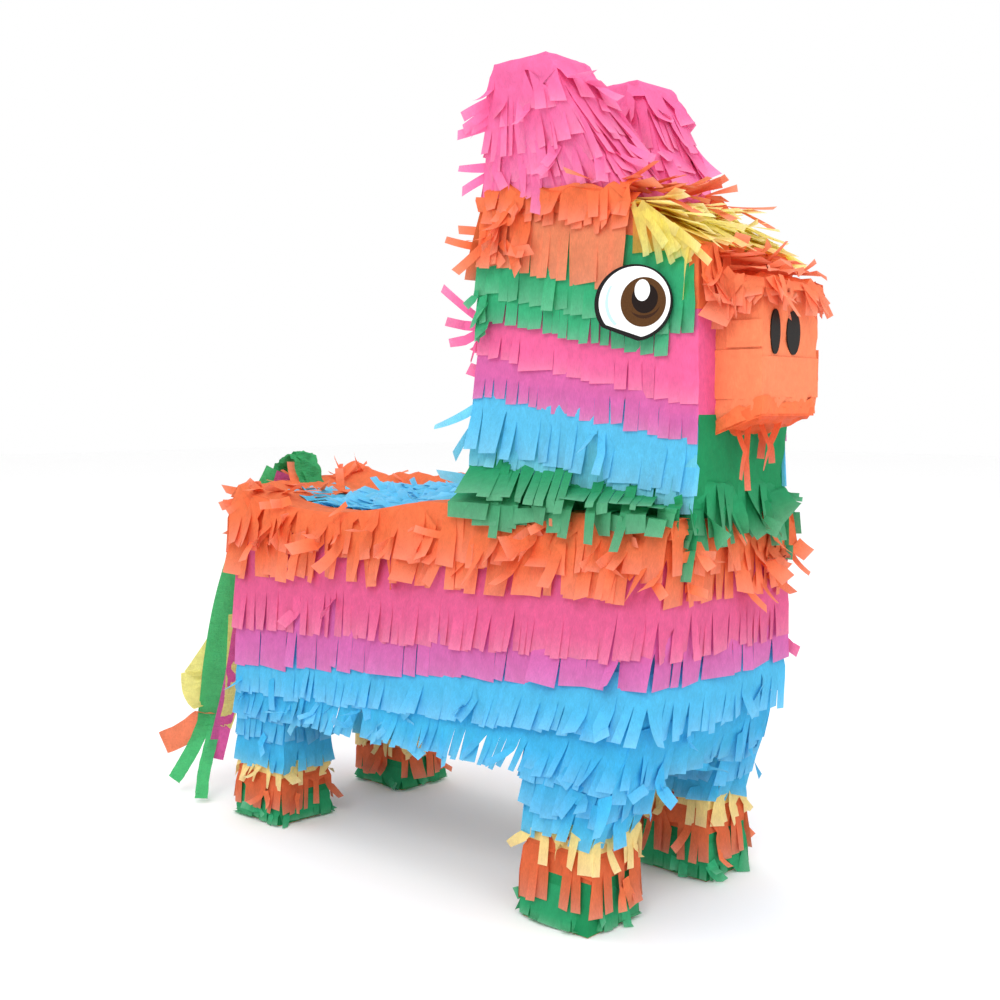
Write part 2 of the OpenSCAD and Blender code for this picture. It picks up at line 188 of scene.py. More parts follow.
def kraft():
    """Corrugated board: brown, with fibres, and faint flutes under the liner."""
    m, tree = new_material("kraft board")
    grain = fibres(tree, (900, 260, 260), 6.0, 0.7)
    colour = two_tone(tree, grain, 0.3, srgb(150, 112, 74), 0.7, srgb(196, 156, 112))
    coord = node(tree, "ShaderNodeTexCoord")
    flutes = node(tree, "ShaderNodeTexWave", Scale=45.0, Distortion=0.4, Detail=1.0)
    tree.links.new(coord.outputs["Object"], flutes.inputs["Vector"])
    height = maths(tree, "MULTIPLY_ADD", flutes.outputs["Fac"], 0.5, grain)
    output(tree, matte(tree, colour, 0.85, 0.2, height, 0.25, 0.6 * MM)[0])
    return m


def print_ink(name, dark, light, rough=0.3):
    """Printed card: a colour with a faint grain and a little gloss."""
    m, tree = new_material(name)
    grain = fibres(tree, (1500, 1500, 1500), 4.0, 0.6)
    colour = two_tone(tree, grain, 0.25, dark, 0.75, light)
    output(tree, matte(tree, colour, rough, 0.2, grain, 0.05, 0.2 * MM)[0])
    return m


def pale_floor():
    m, tree = new_material("pale floor")
    grain = node(tree, "ShaderNodeTexNoise", Scale=40.0, Detail=3.0)
    surface = node(tree, "ShaderNodeBsdfPrincipled", Roughness=0.9)
    colour = two_tone(tree, grain.outputs["Fac"], 0.0, (0.975,) * 3, 1.0, (0.985,) * 3)
    tree.links.new(colour, surface.inputs["Base Color"])
    output(tree, surface.outputs[0])
    return m


TISSUE = tissue("tissue paper")
WRAP = tissue("pasted tissue", glow=0.1, rough=0.62, wrinkle=0.5)
SUNNY = tissue("thin yellow tissue", glow=0.6)
CREPE = tissue("crepe paper", glow=0.35, rough=0.8, wrinkle=0.3, crepe=0.7)
KRAFT = kraft()
BLACK = print_ink("black paper", srgb(10, 8, 7), srgb(30, 24, 20), 0.5)
WHITE = print_ink("white card", srgb(246, 246, 244), srgb(254, 254, 254), 0.35)
BROWN = print_ink("brown print", srgb(74, 44, 14), srgb(90, 56, 22))
PUPIL = print_ink("dark print", srgb(16, 5, 3), srgb(30, 12, 6))
LIP = print_ink("lower iris print", srgb(48, 24, 8), srgb(60, 32, 12))
OUTLINE = print_ink("outline print", srgb(12, 10, 10), srgb(30, 26, 26))
SKY = print_ink("pale blue print", srgb(176, 218, 244), srgb(196, 230, 250))

# ---------------------------------------------------------------- paper work


class Paper:
    """The sheets and strips of one piece: points, faces, and a colour for each point."""

    def __init__(self, seed):
        self.rng = random.Random(seed)
        self.points, self.faces, self.tints = [], [], []

    def point(self, p, tint):
        self.points.append((p[0], p[1], max(p[2], 0.0005)))
        self.tints.append((tint[0], tint[1], tint[2], 1.0))
        return len(self.points) - 1

    def place(self, i):
        return Vector(self.points[i])

    def make(self, name, nodes, material=None, slot="tissue_orange", body="donkey"):
        mesh = bpy.data.meshes.new(name)
        mesh.from_pydata(self.points, [], self.faces)
        colours = mesh.color_attributes.new("tint", "FLOAT_COLOR", "POINT")
        colours.data.foreach_set("color", [c for t in self.tints for c in t])
        mesh.polygons.foreach_set("use_smooth", [True] * len(mesh.polygons))
        mesh.materials.append(material or TISSUE)
        mesh.update()
        mesh.set_sharp_from_angle(angle=math.radians(32))
        o = put(mesh, name)
        if nodes:
            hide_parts(*nodes)
        if body:
            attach(o, body)
        return o


class Wall:
    """A surface that paper hangs on. point(s, h) gives the place s along it at height h."""

    def __init__(self, point, length, corners=()):
        self.point, self.length, self.corners = point, length, corners

    def at(self, s, h, e=2.5 * MM):
        p = self.point(s, h)
        across = (self.point(s + e, h) - self.point(s - e, h)).normalized()
        up = (self.point(s, h + e) - self.point(s, h - e)).normalized()
        return p, across, -up, across.cross(up).normalized()


def ring(corners, ref):
    """The wall round a box. corners(z) gives its four corners in plan, anticlockwise from above."""
    c = [Vector((*p, 0)) for p in corners(ref)]
    sides = [(c[(i + 1) % 4] - c[i]).length for i in range(4)]
    total = sum(sides)
    starts = [sum(sides[:i]) for i in range(5)]

    def point(s, z):
        s %= total
        k = next(i for i in range(4) if s <= starts[i + 1] + 1e-9)
        f = (s - starts[k]) / sides[k]
        q = corners(z)
        a, b = q[k], q[(k + 1) % 4]
        return Vector((a[0] + (b[0] - a[0]) * f, a[1] + (b[1] - a[1]) * f, z))

    return Wall(point, total, starts)


def ramp(x0, z0, x1, z1):
    """A height that runs straight from z0 at x0 to z1 at x1, and on past both."""
    return lambda p: (z0 + (z1 - z0) * (p[0] * 1000 - x0) / (x1 - x0)) * MM


def level(z):
    return lambda p: z * MM


def height_of(height):
    return height if callable(height) else level(height)


def rough(p, size, seed=0.0):
    return noise.noise(Vector((p[0] / size, p[1] / size + seed, p[2] / size)))


def crease(p, size, seed=0.0):
    """Sharp folds, from 0 to 1."""
    a = 1 - abs(rough(p, size, seed)) * 2.2
    b = 1 - abs(rough(p, size * 0.45, seed + 7)) * 2.2
    return max(0.0, 0.65 * a + 0.35 * b)


def vary(rng, colour, amount):
    k = 1 + rng.uniform(-amount, amount * 0.7)
    return Vector((min(1, c * k) for c in colour))


def turned(down, across, angle):
    """The two directions, turned by angle toward across."""
    c, s = math.cos(angle), math.sin(angle)
    return down * c + across * s, across * c - down * s


def grid_of(columns, rows, place):
    """The points of a grid, by column and row."""
    return {(i, j): place(i, j) for i in range(columns + 1) for j in range(rows + 1)}


def cells(grid, columns, rows):
    for i in range(columns):
        for j in range(rows):
            yield grid[i, j], grid[i + 1, j], grid[i + 1, j + 1], grid[i, j + 1]


def ribbon(paper, head, down, across, out, length, tint, flare=0.1, curl=0.0, sway=0.0, twist=0.0,
           kink=None, rows=5, narrow=0.95, floor=None, pale=0.12, slant=0.0, rest=None, aim=None):
    """A strip hanging from the two points in head, in radians; kink is (place, out, side).

    It starts below both points, and lies down, pointing outward, where it would sink below rest(p).
    Where aim(p, slip) gives a direction, it goes that way."""
    rng = paper.rng
    slip = rng.gauss(0, 1.2) * MM
    a, b = paper.place(head[0]), paper.place(head[1])
    width = (b - a).length * narrow
    skew = abs((b - a).dot(down)) / 2
    start = (a + b) / 2
    p = start + down * skew
    left, right = head
    step = max(length - skew, 1.5 * MM) / rows
    for i in range(1, rows + 1):
        t = i / rows
        lift = flare + curl * t
        side = sway * (0.4 + 0.6 * t)
        if kink and t > kink[0]:
            lift += kink[1]
            side += kink[2]
        flat, wide = turned(down, across, side)
        go = flat * math.cos(lift) + out * math.sin(lift)
        face = out * math.cos(lift) - flat * math.sin(lift)
        turn = twist * t
        wide = wide * math.cos(turn) + face * math.sin(turn)
        if rest and (p + go * step)[2] < rest(p):
            level_out = Vector((out[0], out[1], 0.08)) + across * side
            go = level_out.normalized()
            wide = go.cross(UP).normalized() * (1 if wide.dot(go.cross(UP)) > 0 else -1)
        go = (aim and aim(p, slip)) or go
        p = p + go * step
        if floor is not None:
            low = floor * (0.5 + 0.5 * t) - (p - start).dot(out)
            if low > 0:
                p = p + out * low
        shade = tint.lerp(Vector((1, 1, 1)), pale * t * t)
        off = go * (slant * width if i == rows else 0)
        nl = paper.point(p - wide * width / 2 - off, shade)
        nr = paper.point(p + wide * width / 2 + off, shade)
        paper.faces.append((left, nl, nr, right))
        left, right = nl, nr


def loose_kink(rng, wild):
    return (rng.uniform(0.2, 0.65), rng.uniform(-0.2, 1.3) * wild, rng.gauss(0, 0.7) * wild)


def fringe(paper, wall, top, cut, end, colour, lift, width, span=None, loose=0.05, wild=1.0, ragged=1.0,
           wide=0.06, gaps=0.0, crumple=0.3, header_rows=3, rows=5, flare=0.06, shades=0.06, pale=0.12,
           tuck=0.3, rest=None, aim=None):
    """One row: an uncut header from top to cut, and strips cut in it that hang to end.

    Lengths and plain heights are in mm; a height can also be a function of the place."""
    rng = paper.rng
    top, cut, end = height_of(top), height_of(cut), height_of(end)
    lift, width = lift * MM, width * MM
    s0, s1 = span or (0.0, wall.length)
    cuts = [s0]
    while cuts[-1] < s1 - width * 0.6:
        w = width * rng.uniform(0.7, 1.3) * (rng.choice((1.8, 2.6)) if rng.random() < wide else 1)
        cuts.append(cuts[-1] + w)
    scale = (s1 - s0) / (cuts[-1] - s0)
    cuts = [s0 + (c - s0) * scale for c in cuts]
    for corner in wall.corners:
        near = min(range(len(cuts)), key=lambda i: abs(cuts[i] - corner))
        if 0 < near < len(cuts) - 1 and abs(cuts[near] - corner) < width:
            cuts[near] = corner
    loop = span is None
    seed = rng.uniform(0, 100)
    grid = []
    for j, s in enumerate(cuts):
        if loop and j == len(cuts) - 1:
            grid.append(grid[0])
            continue
        p = wall.point(s, cut(wall.point(s, 0.2)))
        high, low = top(p), cut(p)
        low += rng.gauss(0, 0.12) * (low - end(p)) * ragged
        low = min(low, high - 1 * MM)
        column = []
        for h in range(header_rows + 1):
            f = h / header_rows
            z = high + (low - high) * f
            q, across, down, out = wall.at(s, z)
            bulge = crumple * MM * (1.2 * crease(q, 14 * MM, seed) + rough(q, 5 * MM, seed))
            q = q + out * (lift * (tuck + (1 - tuck) * f) + max(0, bulge) * min(1, f * 2 + 0.3))
            column.append(paper.point(q, vary(rng, colour, 0.02)))
        grid.append(column)
    for j in range(len(cuts) - 1):
        a, b = grid[j], grid[j + 1]
        for h in range(header_rows):
            paper.faces.append((a[h], a[h + 1], b[h + 1], b[h]))
        if rng.random() < gaps:
            continue
        mid = (cuts[j] + cuts[j + 1]) / 2
        base, across, down, out = wall.at(mid, cut(wall.point(mid, 0.2)))
        drop = paper.place(a[-1]).lerp(paper.place(b[-1]), 0.5)
        length = abs(cut(base) - end(base)) + (drop - base).dot(-down) + rng.gauss(0, 0.8) * MM * ragged
        if length < 2 * MM:
            continue
        tint = vary(rng, colour, shades)
        if rng.random() < loose:
            ribbon(paper, (a[-1], b[-1]), down, across, out, length, tint,
                   flare=rng.uniform(0.1, 0.5) * wild, curl=rng.gauss(0.2, 0.5) * wild,
                   sway=rng.gauss(0, 0.35) * wild, twist=rng.gauss(0, 0.9) * wild,
                   kink=loose_kink(rng, wild) if rng.random() < 0.6 else None, rows=rows + 2, narrow=0.9,
                   floor=lift * 0.3, pale=pale, slant=rng.uniform(-0.1, 0.1), rest=rest, aim=aim)
        else:
            ribbon(paper, (a[-1], b[-1]), down, across, out, length, tint,
                   flare=max(0.0, rng.gauss(flare, 0.05)), curl=rng.gauss(0.0, 0.06) * ragged,
                   sway=rng.gauss(0, 0.035) * ragged, twist=rng.gauss(0, 0.16) * ragged, rows=rows,
                   narrow=rng.uniform(0.9, 0.99), floor=0.2 * MM, pale=pale, slant=rng.uniform(-0.04, 0.04),
                   rest=rest, aim=aim)


def sheet(paper, wall, span, low, high, lift, colour, cols=24, rows=5, crumple=0.4):
    """A plain pasted sheet on a wall between the heights low and high, given as in fringe."""
    low, high = height_of(low), height_of(high)
    s0, s1 = span
    seed = paper.rng.uniform(0, 100)
    stops = [s0 + (s1 - s0) * i / cols for i in range(cols + 1)]
    for corner in wall.corners:
        near = min(range(cols + 1), key=lambda i: abs(stops[i] - corner))
        if abs(stops[near] - corner) < (s1 - s0) / cols:
            stops[near] = corner
    grid = []
    for s in stops:
        base = wall.point(s, high(wall.point(s, 0.2)))
        z0, z1 = low(base), high(base)
        column = []
        for h in range(rows + 1):
            q, across, down, out = wall.at(s, z0 + (z1 - z0) * h / rows)
            bulge = crumple * (crease(q, 13 * MM, seed) + 0.6 * rough(q, 5 * MM, seed)) * MM
            column.append(paper.point(q + out * (lift * MM + max(0, bulge)), vary(paper.rng, colour, 0.02)))
        grid.append(column)
    for a, b in zip(grid, grid[1:]):
        for h in range(rows):
            paper.faces.append((a[h + 1], a[h], b[h], b[h + 1]))


def scrap(paper, start, down, across, out, length, width, tint, **how):
    """A loose strip stuck at one end."""
    a = paper.point(start - across * width / 2, tint)
    b = paper.point(start + across * width / 2, tint)
    ribbon(paper, (a, b), down, across, out, length, tint, narrow=1.0, **how)


def scraps(paper, wall, count, s_range, z_range, colour, length, width, lift, wild=1.0, lean=1.0):
    """Loose strips that lie about on a wall, pointing mostly down."""
    rng = paper.rng
    for _ in range(count):
        s, z = rng.uniform(*s_range), rng.uniform(*z_range) * MM
        p, across, down, out = wall.at(s, z)
        d, w = turned(down, across, rng.gauss(0, 0.9) * lean)
        scrap(paper, p + out * lift * MM, d, w, out, rng.uniform(0.6, 1.2) * length * MM,
              rng.uniform(0.75, 1.25) * width * MM, vary(rng, colour, 0.1),
              flare=rng.uniform(0.0, 0.45) * wild, curl=rng.gauss(0, 0.5) * wild,
              sway=rng.gauss(0, 0.4) * wild, twist=rng.gauss(0, 0.7) * wild,
              kink=loose_kink(rng, wild) if rng.random() < 0.5 else None, rows=7, floor=0.4 * MM,
              slant=rng.uniform(-0.15, 0.15))


# ---------------------------------------------------------------- the walls, from the CAD's boxes

side_low, side_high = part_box("body_side_right")
belly_low, belly_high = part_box("belly_panel")
head_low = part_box("head_side_right")[0]
BOARD = belly_high[2] - belly_low[2]
BACK_Z = side_high[2]
FOOT_Z = side_low[2]
FOOT_HALF = -side_low[1]
LEAN = (FOOT_HALF - (-side_high[1] + BOARD)) / (BACK_Z - FOOT_Z)
RUMP_LOW, RUMP_TOP = belly_low[0], side_low[0]
CHEST_TOP = side_high[0]
HEAD_HALF = -head_low[1]
SWAY_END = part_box("fill_flap")[1][0] + 1 * MM


def corner(x, z):
    return x * MM, z * MM


# corners of the outline, seen from the side
KNEE, CHEST_LOW = corner(135, 48), corner(159, 112)
NAPE_FOOT, NAPE_HEAD = corner(30, 180), corner(42, 348)
FACE_FOOT, FACE_MIDDLE, FACE_HEAD = corner(169, 194), corner(172, 233), corner(171, 304)
BROW_EDGE, FACE_EDGE = corner(136, 337), corner(171, 316)


def half_at(z):
    return FOOT_HALF - LEAN * (z - FOOT_Z)


def line_at(z, x0, z0, x1, z1):
    """The x at z on the line through two points, or the z at x where they are given the other way round."""
    return x0 + (x1 - x0) * (z - z0) / (z1 - z0)


def back_at(x):
    if x > SWAY_END:
        return BACK_Z
    t = max(0.0, (x - RUMP_TOP) / (SWAY_END - RUMP_TOP))
    return BACK_Z - 10 * MM * math.sin(math.pi * t)


def front_at(z):
    """The front of the front legs, which runs on up to the chest."""
    return line_at(max(z, KNEE[1]), *KNEE, *CHEST_LOW)


def body_corners(z):
    y = half_at(z)
    rump = line_at(z, RUMP_LOW, belly_high[2], RUMP_TOP, BACK_Z) if z > belly_high[2] else RUMP_LOW
    chest = line_at(z, *CHEST_LOW, CHEST_TOP, BACK_Z) if z > CHEST_LOW[1] else front_at(z)
    return [(rump, -y), (chest, -y), (chest, y), (rump, y)]


def head_corners(z):
    nape = line_at(z, *NAPE_FOOT, *NAPE_HEAD)
    below, above = (FACE_FOOT, FACE_MIDDLE) if z < FACE_MIDDLE[1] else (FACE_MIDDLE, FACE_HEAD)
    face = line_at(z, *below, *above)
    return [(nape, -HEAD_HALF), (face, -HEAD_HALF), (face, HEAD_HALF), (nape, HEAD_HALF)]


LEG_INNER, FRONT_LEG_REAR, REAR_LEG_FRONT = 30.5 * MM, 95 * MM, -98 * MM
HEEL_X, HOCK_Z = -138 * MM, 90 * MM


def leg_corners(front, side):
    def corners(z):
        outer, inner = half_at(z), LEG_INNER
        if front:
            rear = FRONT_LEG_REAR
            fore = front_at(z)
        else:
            rear = line_at(max(z, FOOT_Z), HEEL_X, FOOT_Z, RUMP_LOW, HOCK_Z)
            fore = REAR_LEG_FRONT
        low, high = (-outer, -inner) if side < 0 else (inner, outer)
        return [(rear, low), (fore, low), (fore, high), (rear, high)]
    return corners


EAR_FOOT_Z, EAR_TOP_Z = 343 * MM, 411 * MM


def ear_corners(side, grow=2.6 * MM):
    """An ear's box, from low to high, given as x0, x1, y0 and y1."""
    low = (42 * MM, 128 * MM, 6 * MM, 33 * MM)
    high = (63 * MM, 91 * MM, 24 * MM, 47 * MM)

    def corners(z):
        t = (z - EAR_FOOT_Z) / (EAR_TOP_Z - EAR_FOOT_Z)
        x0, x1, y0, y1 = (a + (b - a) * t for a, b in zip(low, high))
        x0, x1, y0, y1 = x0 - grow, x1 + grow, y0 - grow, y1 + grow
        if side < 0:
            y0, y1 = -y1, -y0
        return [(x0, y0), (x1, y0), (x1, y1), (x0, y1)]
    return corners


BODY = ring(body_corners, 150 * MM)
HEAD = ring(head_corners, 250 * MM)

# ---------------------------------------------------------------- body rows

SIDES = (-1, 1)
RUMP_X, CHEST_X = -150, 162  # where the heights of the body's rows are given
WHOLE = (0.0, BODY.length)


def body_line(rump, chest):
    return ramp(RUMP_X, rump, CHEST_X, chest)


p = Paper(11)
sheet(p, BODY, WHOLE, body_line(84, 84), body_line(120, 146), 0.4, BLUE, cols=60, rows=4)
fringe(p, BODY, body_line(86, 100), body_line(76, 88), body_line(60, 70), BLUE, 3.6, 5.2, loose=0.12,
       wild=0.7, ragged=1.4, flare=0.10, wide=0.08)
fringe(p, BODY, body_line(104, 126), body_line(90, 112), body_line(74, 93), BLUE.lerp(LIGHT_BLUE, 0.25), 4.6,
       5.4, loose=0.10, wild=0.7, ragged=1.2, flare=0.09)
scraps(p, BODY, 16, WHOLE, (72, 92), BLUE, 18, 5, 5, wild=0.8, lean=0.7)
for start in (0, BODY.corners[2]):
    scraps(p, BODY, 16, (start + 0.05, start + 0.24), (74, 82), LIGHT_BLUE.lerp(BLUE, 0.6), 19, 4.5, 3,
           wild=0.9, lean=0.7)
p.make("body_rows_blue", ["body_fringe_blue"], slot="tissue_blue")

p = Paper(12)
fringe(p, BODY, body_line(142, 158), body_line(110, 136), body_line(90, 118), MAUVE, 4.4, 8.0, loose=0.01,
       wide=0.5, ragged=0.7, flare=0.05, shades=0.05, pale=0.08)
p.make("body_rows_mauve", ["body_fringe_mauve"], slot="tissue_mauve")

p = Paper(13)
fringe(p, BODY, body_line(180, 187), body_line(135, 150), body_line(111, 130), PINK, 4.4, 5.4, loose=0.03,
       wild=0.7, wide=0.05, ragged=0.9, flare=0.05, shades=0.05)
scraps(p, BODY, 5, WHOLE, (124, 138), PINK, 18, 5, 5.5, wild=0.6)
p.make("body_rows_pink", ["body_fringe_pink"], slot="tissue_pink")


def back_edge(p):
    return back_at(p[0]) + 1.5 * MM


p = Paper(14)
fringe(p, BODY, lambda q: back_at(q[0]) - 4 * MM, body_line(174, 181), body_line(143, 157), ORANGE, 3.8, 6.0,
       loose=0.25, wild=0.7, wide=0.03, ragged=1.5, gaps=0.05, crumple=1.2, flare=0.08, shades=0.08, rows=6)
fringe(p, BODY, back_edge, lambda q: min(187 * MM, back_at(q[0]) - 3 * MM), body_line(160, 168), ORANGE, 4.2,
       6.2, loose=0.40, wild=0.9, ragged=2.0, gaps=0.16, crumple=2.4, flare=0.11, shades=0.09, header_rows=4,
       rows=6)
scraps(p, BODY, 100, WHOLE, (164, 192), ORANGE, 18, 4.5, 5.5, wild=0.9)
for side in SIDES:
    for height in (181, 185, 188, 192):
        aside = Vector((-0.85, side * 0.5, p.rng.uniform(-0.3, 0.2))).normalized()
        scrap(p, Vector((-157, side * 45, height)) * MM, aside, UP, Vector((0, side, 0)),
              p.rng.uniform(12, 19) * MM, 6 * MM, vary(p.rng, ORANGE, 0.06), flare=p.rng.gauss(0, 0.15),
              curl=p.rng.gauss(0, 0.2), twist=p.rng.gauss(0, 0.3))
p.make("body_rows_orange", ["body_fringe_orange"], slot="tissue_orange")

# ---------------------------------------------------------------- back cover and the blue patch on the flap

flap_low, flap_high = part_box("fill_flap")
p = Paper(15)
COLUMNS, ROWS = 96, 30
COVER_X0, COVER_X1 = RUMP_TOP - 4.4 * MM, CHEST_TOP + 4.4 * MM
HOLE = (flap_low[0] - 5 * MM, flap_high[0] + 0.3 * MM, flap_high[1] + 1.5 * MM)
NECK = (head_low[0] - 1 * MM, HEAD_HALF + 0.5 * MM)


def ridge_at(q, x, v):
    """The gathered paper along the far side and over the rump; v runs from -1 to 1 across the back."""
    if x >= 12 * MM:
        return 0.0
    far = min(1.0, max(0.0, (v - 0.52) / 0.3)) * (1 if v < 0.85 else (1 - v) / 0.15)
    rear = max(0.0, (-118 * MM - x) / (40 * MM)) * (0.35 + 0.65 * max(0.0, v + 0.4))
    front = min(1.0, (12 * MM - x) / (14 * MM))
    bump = 0.5 + 0.5 * rough(q, 26 * MM, 5)
    along = 0.45 + 0.6 * min(1.0, max(0.0, (x + 150 * MM) / (55 * MM)))
    return (15 * far * front * along * (0.95 + 0.3 * bump) + 5 * min(1, rear)) * MM


def cover_point(i, j):
    x = COVER_X0 + (COVER_X1 - COVER_X0) * i / COLUMNS
    v = 2 * j / ROWS - 1
    q = Vector((x, v * (half_at(BACK_Z) + 4.4 * MM), back_at(x) + 1.2 * MM))
    calm = min(1.0, max(0.0, (v + 0.5) / 0.4)) if x > -125 * MM else 1.0
    fold = (crease(q, 22 * MM, 3) * 3.0 * MM + crease(q, 8 * MM, 9) * 1.2 * MM) * (0.2 + 0.8 * calm)
    edge = max(abs(v) - 0.9, 0) / 0.1
    ends = max(0.0, (COVER_X0 + 5 * MM - x) / (5 * MM))
    drop = 9 * MM * max(edge, ends) ** 2
    return p.point(q + UP * (fold + ridge_at(q, x, v) - drop), vary(p.rng, ORANGE.lerp(SALMON, 0.15), 0.03))


def is_open(q):
    """Whether the cover is cut away there, over the flap or under the head."""
    over_flap = HOLE[0] < q[0] < HOLE[1] and abs(q[1]) < HOLE[2]
    return over_flap or (q[0] > NECK[0] + 6 * MM and abs(q[1]) < NECK[1] - 4 * MM)


for quad in cells(grid_of(COLUMNS, ROWS, cover_point), COLUMNS, ROWS):
    if not is_open(sum((p.place(k) for k in quad), Vector()) / 4):
        p.faces.append(quad)
for _ in range(70):
    x, y = p.rng.uniform(-150, 25) * MM, p.rng.uniform(33, 50) * MM
    if p.rng.random() < 0.35:
        x, y = p.rng.uniform(-158, -128) * MM, p.rng.uniform(-48, 48) * MM
    d, w = turned(Vector((1, 0, 0)), Vector((0, 1, 0)), p.rng.uniform(0, 6.28))
    scrap(p, Vector((x, y, back_at(x) + (9 if y > 0.02 else 4) * MM)), d, w, UP, p.rng.uniform(10, 22) * MM,
          p.rng.uniform(3, 6) * MM, vary(p.rng, ORANGE, 0.1), flare=p.rng.uniform(0, 0.5),
          curl=p.rng.gauss(0, 0.4), twist=p.rng.gauss(0, 0.6), rows=6, floor=0.4 * MM)
p.make("back_cover_paper", ["back_cover"], slot="tissue_orange")

HINGE_X = flap_low[0]
PATCH = (-26.5 * MM, 26.5 * MM)


def slope(s, x):
    """How far the blue patch stands up: little on the near side and by the hinge, much on the far side."""
    far = max(0.0, min(1.0, (24 * MM - s) / (50 * MM))) ** 1.2
    return (0.6 + 11 * far * max(0.12, min(1.0, (x - HINGE_X - 4 * MM) / (18 * MM)))) * MM


p = Paper(16)
flap_wall = Wall(lambda s, h: Vector((h, -s, back_at(h) + slope(s, h))), 0.054)
sheet(p, flap_wall, PATCH, HINGE_X / MM + 0.5, HINGE_X / MM + 18, 0.3, BLUE, cols=14, crumple=0.2)
x = HINGE_X + 14 * MM
while x < flap_high[0] + 0.5 * MM:
    tone = LIGHT_BLUE.lerp(BLUE, p.rng.uniform(0.3, 0.7))
    fringe(p, flap_wall, lambda q: x, lambda q: x - 5 * MM, lambda q: max(x - 19 * MM, HINGE_X + 6 * MM),
           tone, 1.5, 4.0, span=PATCH, loose=0.14, wild=0.5, ragged=1.4, gaps=0.04, crumple=0.6, flare=0.09,
           header_rows=2, shades=0.08)
    x += 9 * MM
far_side = Wall(lambda s, h: Vector((-s, PATCH[1], back_at(-s) + h)), 0.12)
edge_span = (-flap_high[0], -HINGE_X - 1 * MM)
sheet(p, far_side, edge_span, 0.3, lambda q: slope(PATCH[0], q[0]), 0.0, BLUE, rows=3, crumple=0.6)
fringe(p, far_side, 11.8, 10, 1, BLUE, 0.6, 4.5, span=(edge_span[0], -HINGE_X - 20 * MM), loose=0.1,
       wild=0.4, flare=0.02, header_rows=2)
end_wall = Wall(lambda s, h: Vector((flap_high[0], s, back_at(flap_high[0]) + h)), 0.053)
sheet(p, end_wall, PATCH, 0.3, lambda q: slope(-q[1], q[0]), 0.0, BLUE, cols=14, rows=3)
p.make("flap_rows_blue", ["flap_fringe"], slot="tissue_blue", body="flap")

p = Paper(17)
for top in (-119, -125):
    fringe(p, flap_wall, top, top - 3, top - 15, LIGHT_BLUE.lerp(BLUE, 0.5), 2.0, 4.5,
           span=(-25 * MM, 27 * MM), loose=0.2, wild=0.3, ragged=1.8, gaps=0.1, crumple=0.4, flare=0.08,
           header_rows=2)
p.make("rump_rows_blue", [], slot="tissue_blue")

# ---------------------------------------------------------------- legs

LEGS = [(front, side) for front in (True, False) for side in SIDES]
LEG_ROWS = {"blue": "tissue_blue", "yellow": "tissue_yellow", "orange": "tissue_coral",
            "green": "tissue_green"}
papers = {name: Paper(20 + i) for i, name in enumerate(LEG_ROWS)}
for front, side in LEGS:
    wall = ring(leg_corners(front, side), 40 * MM)
    whole = (0.0, wall.length)
    k = 1.0 if front else 0.74  # the rows sit lower on the rear legs
    q = papers["green"]
    sheet(q, wall, whole, 0.6, 27 * k, 0.3, DARK_GREEN, rows=3)
    fringe(q, wall, 20 * k, 9 * k, 0.8, DARK_GREEN.lerp(GREEN, 0.4), 1.4, 6.0, loose=0.12, wild=0.5,
           flare=0.04, wide=0.3, ragged=1.2, crumple=0.8, rest=level(0.7))
    scraps(q, wall, 6, whole, (6, 12 * k), GREEN, 11, 5, 2.2, wild=0.7, lean=0.7)
    q = papers["orange"]
    sheet(q, wall, whole, 25 * k, 44 * k, 0.5, LEG_ORANGE, rows=2)
    fringe(q, wall, 36 * k, 30 * k, 10 * k, LEG_ORANGE, 2.2, 4.6, loose=0.14, wild=0.6, gaps=0.22, ragged=1.4,
           flare=0.04, wide=0.04)
    scraps(q, wall, 5, whole, (16, 28 * k), ORANGE, 16, 4.5, 3.4, wild=0.6, lean=0.6)
    q = papers["yellow"]
    sheet(q, wall, whole, 38 * k, 52 * k, 0.6, STRAW, rows=2)
    fringe(q, wall, 48 * k, 43 * k, 29 * k, STRAW, 2.4, 4.0, loose=0.45, wild=0.9, gaps=0.40, ragged=1.6,
           wide=0.0)
    q = papers["blue"]
    tall = 1.0 if front else 0.9
    sheet(q, wall, whole, 50 * k, 94 * tall, 0.7, BLUE, rows=4)
    for top, cut, end, lift in ((74, 60 * k, 42 * k, 2.6), (86, 72 * tall, 53 * tall, 3.2),
                                (96, 84 * tall, 66 * tall, 3.8)):
        fringe(q, wall, top * tall, cut, end, vary(q.rng, BLUE, 0.04), lift, 5.3, loose=0.10, wild=0.6,
               ragged=1.5, wide=0.05, rows=6)
    scraps(q, wall, 5, whole, (52, 78), BLUE, 18, 5, 5, wild=0.6, lean=0.6)
for name, slot in LEG_ROWS.items():
    papers[name].make("leg_rows_" + name, ["leg_fringe_" + name], slot=slot)

# ---------------------------------------------------------------- head rows

NAPE_X, FACE_X = 36, 171  # where the heights of the head's rows are given


def head_line(nape, face):
    return ramp(NAPE_X, nape, FACE_X, face)


def brow_z(x):
    """The height of the head's upper edge at x."""
    if x < BROW_EDGE[0]:
        return line_at(x, *NAPE_HEAD[::-1], *BROW_EDGE[::-1])
    return line_at(x, *BROW_EDGE[::-1], *FACE_EDGE[::-1])


HC = HEAD.corners  # where the right side, the face, the left side and the nape begin


SIDE_X = (34.6 * MM, 171.8 * MM)


def head_x(x):
    """How far round the head's ring a place x along its right side is."""
    return (HC[1] - HC[0]) * (x * MM - SIDE_X[0]) / (SIDE_X[1] - SIDE_X[0])


def head_span(x_from, x_to, side):
    """The part of the head's ring on one side, between two distances along the head."""
    if side < 0:
        return (head_x(x_from), head_x(x_to))
    return (HC[3] - head_x(x_to), HC[3] - head_x(x_from))


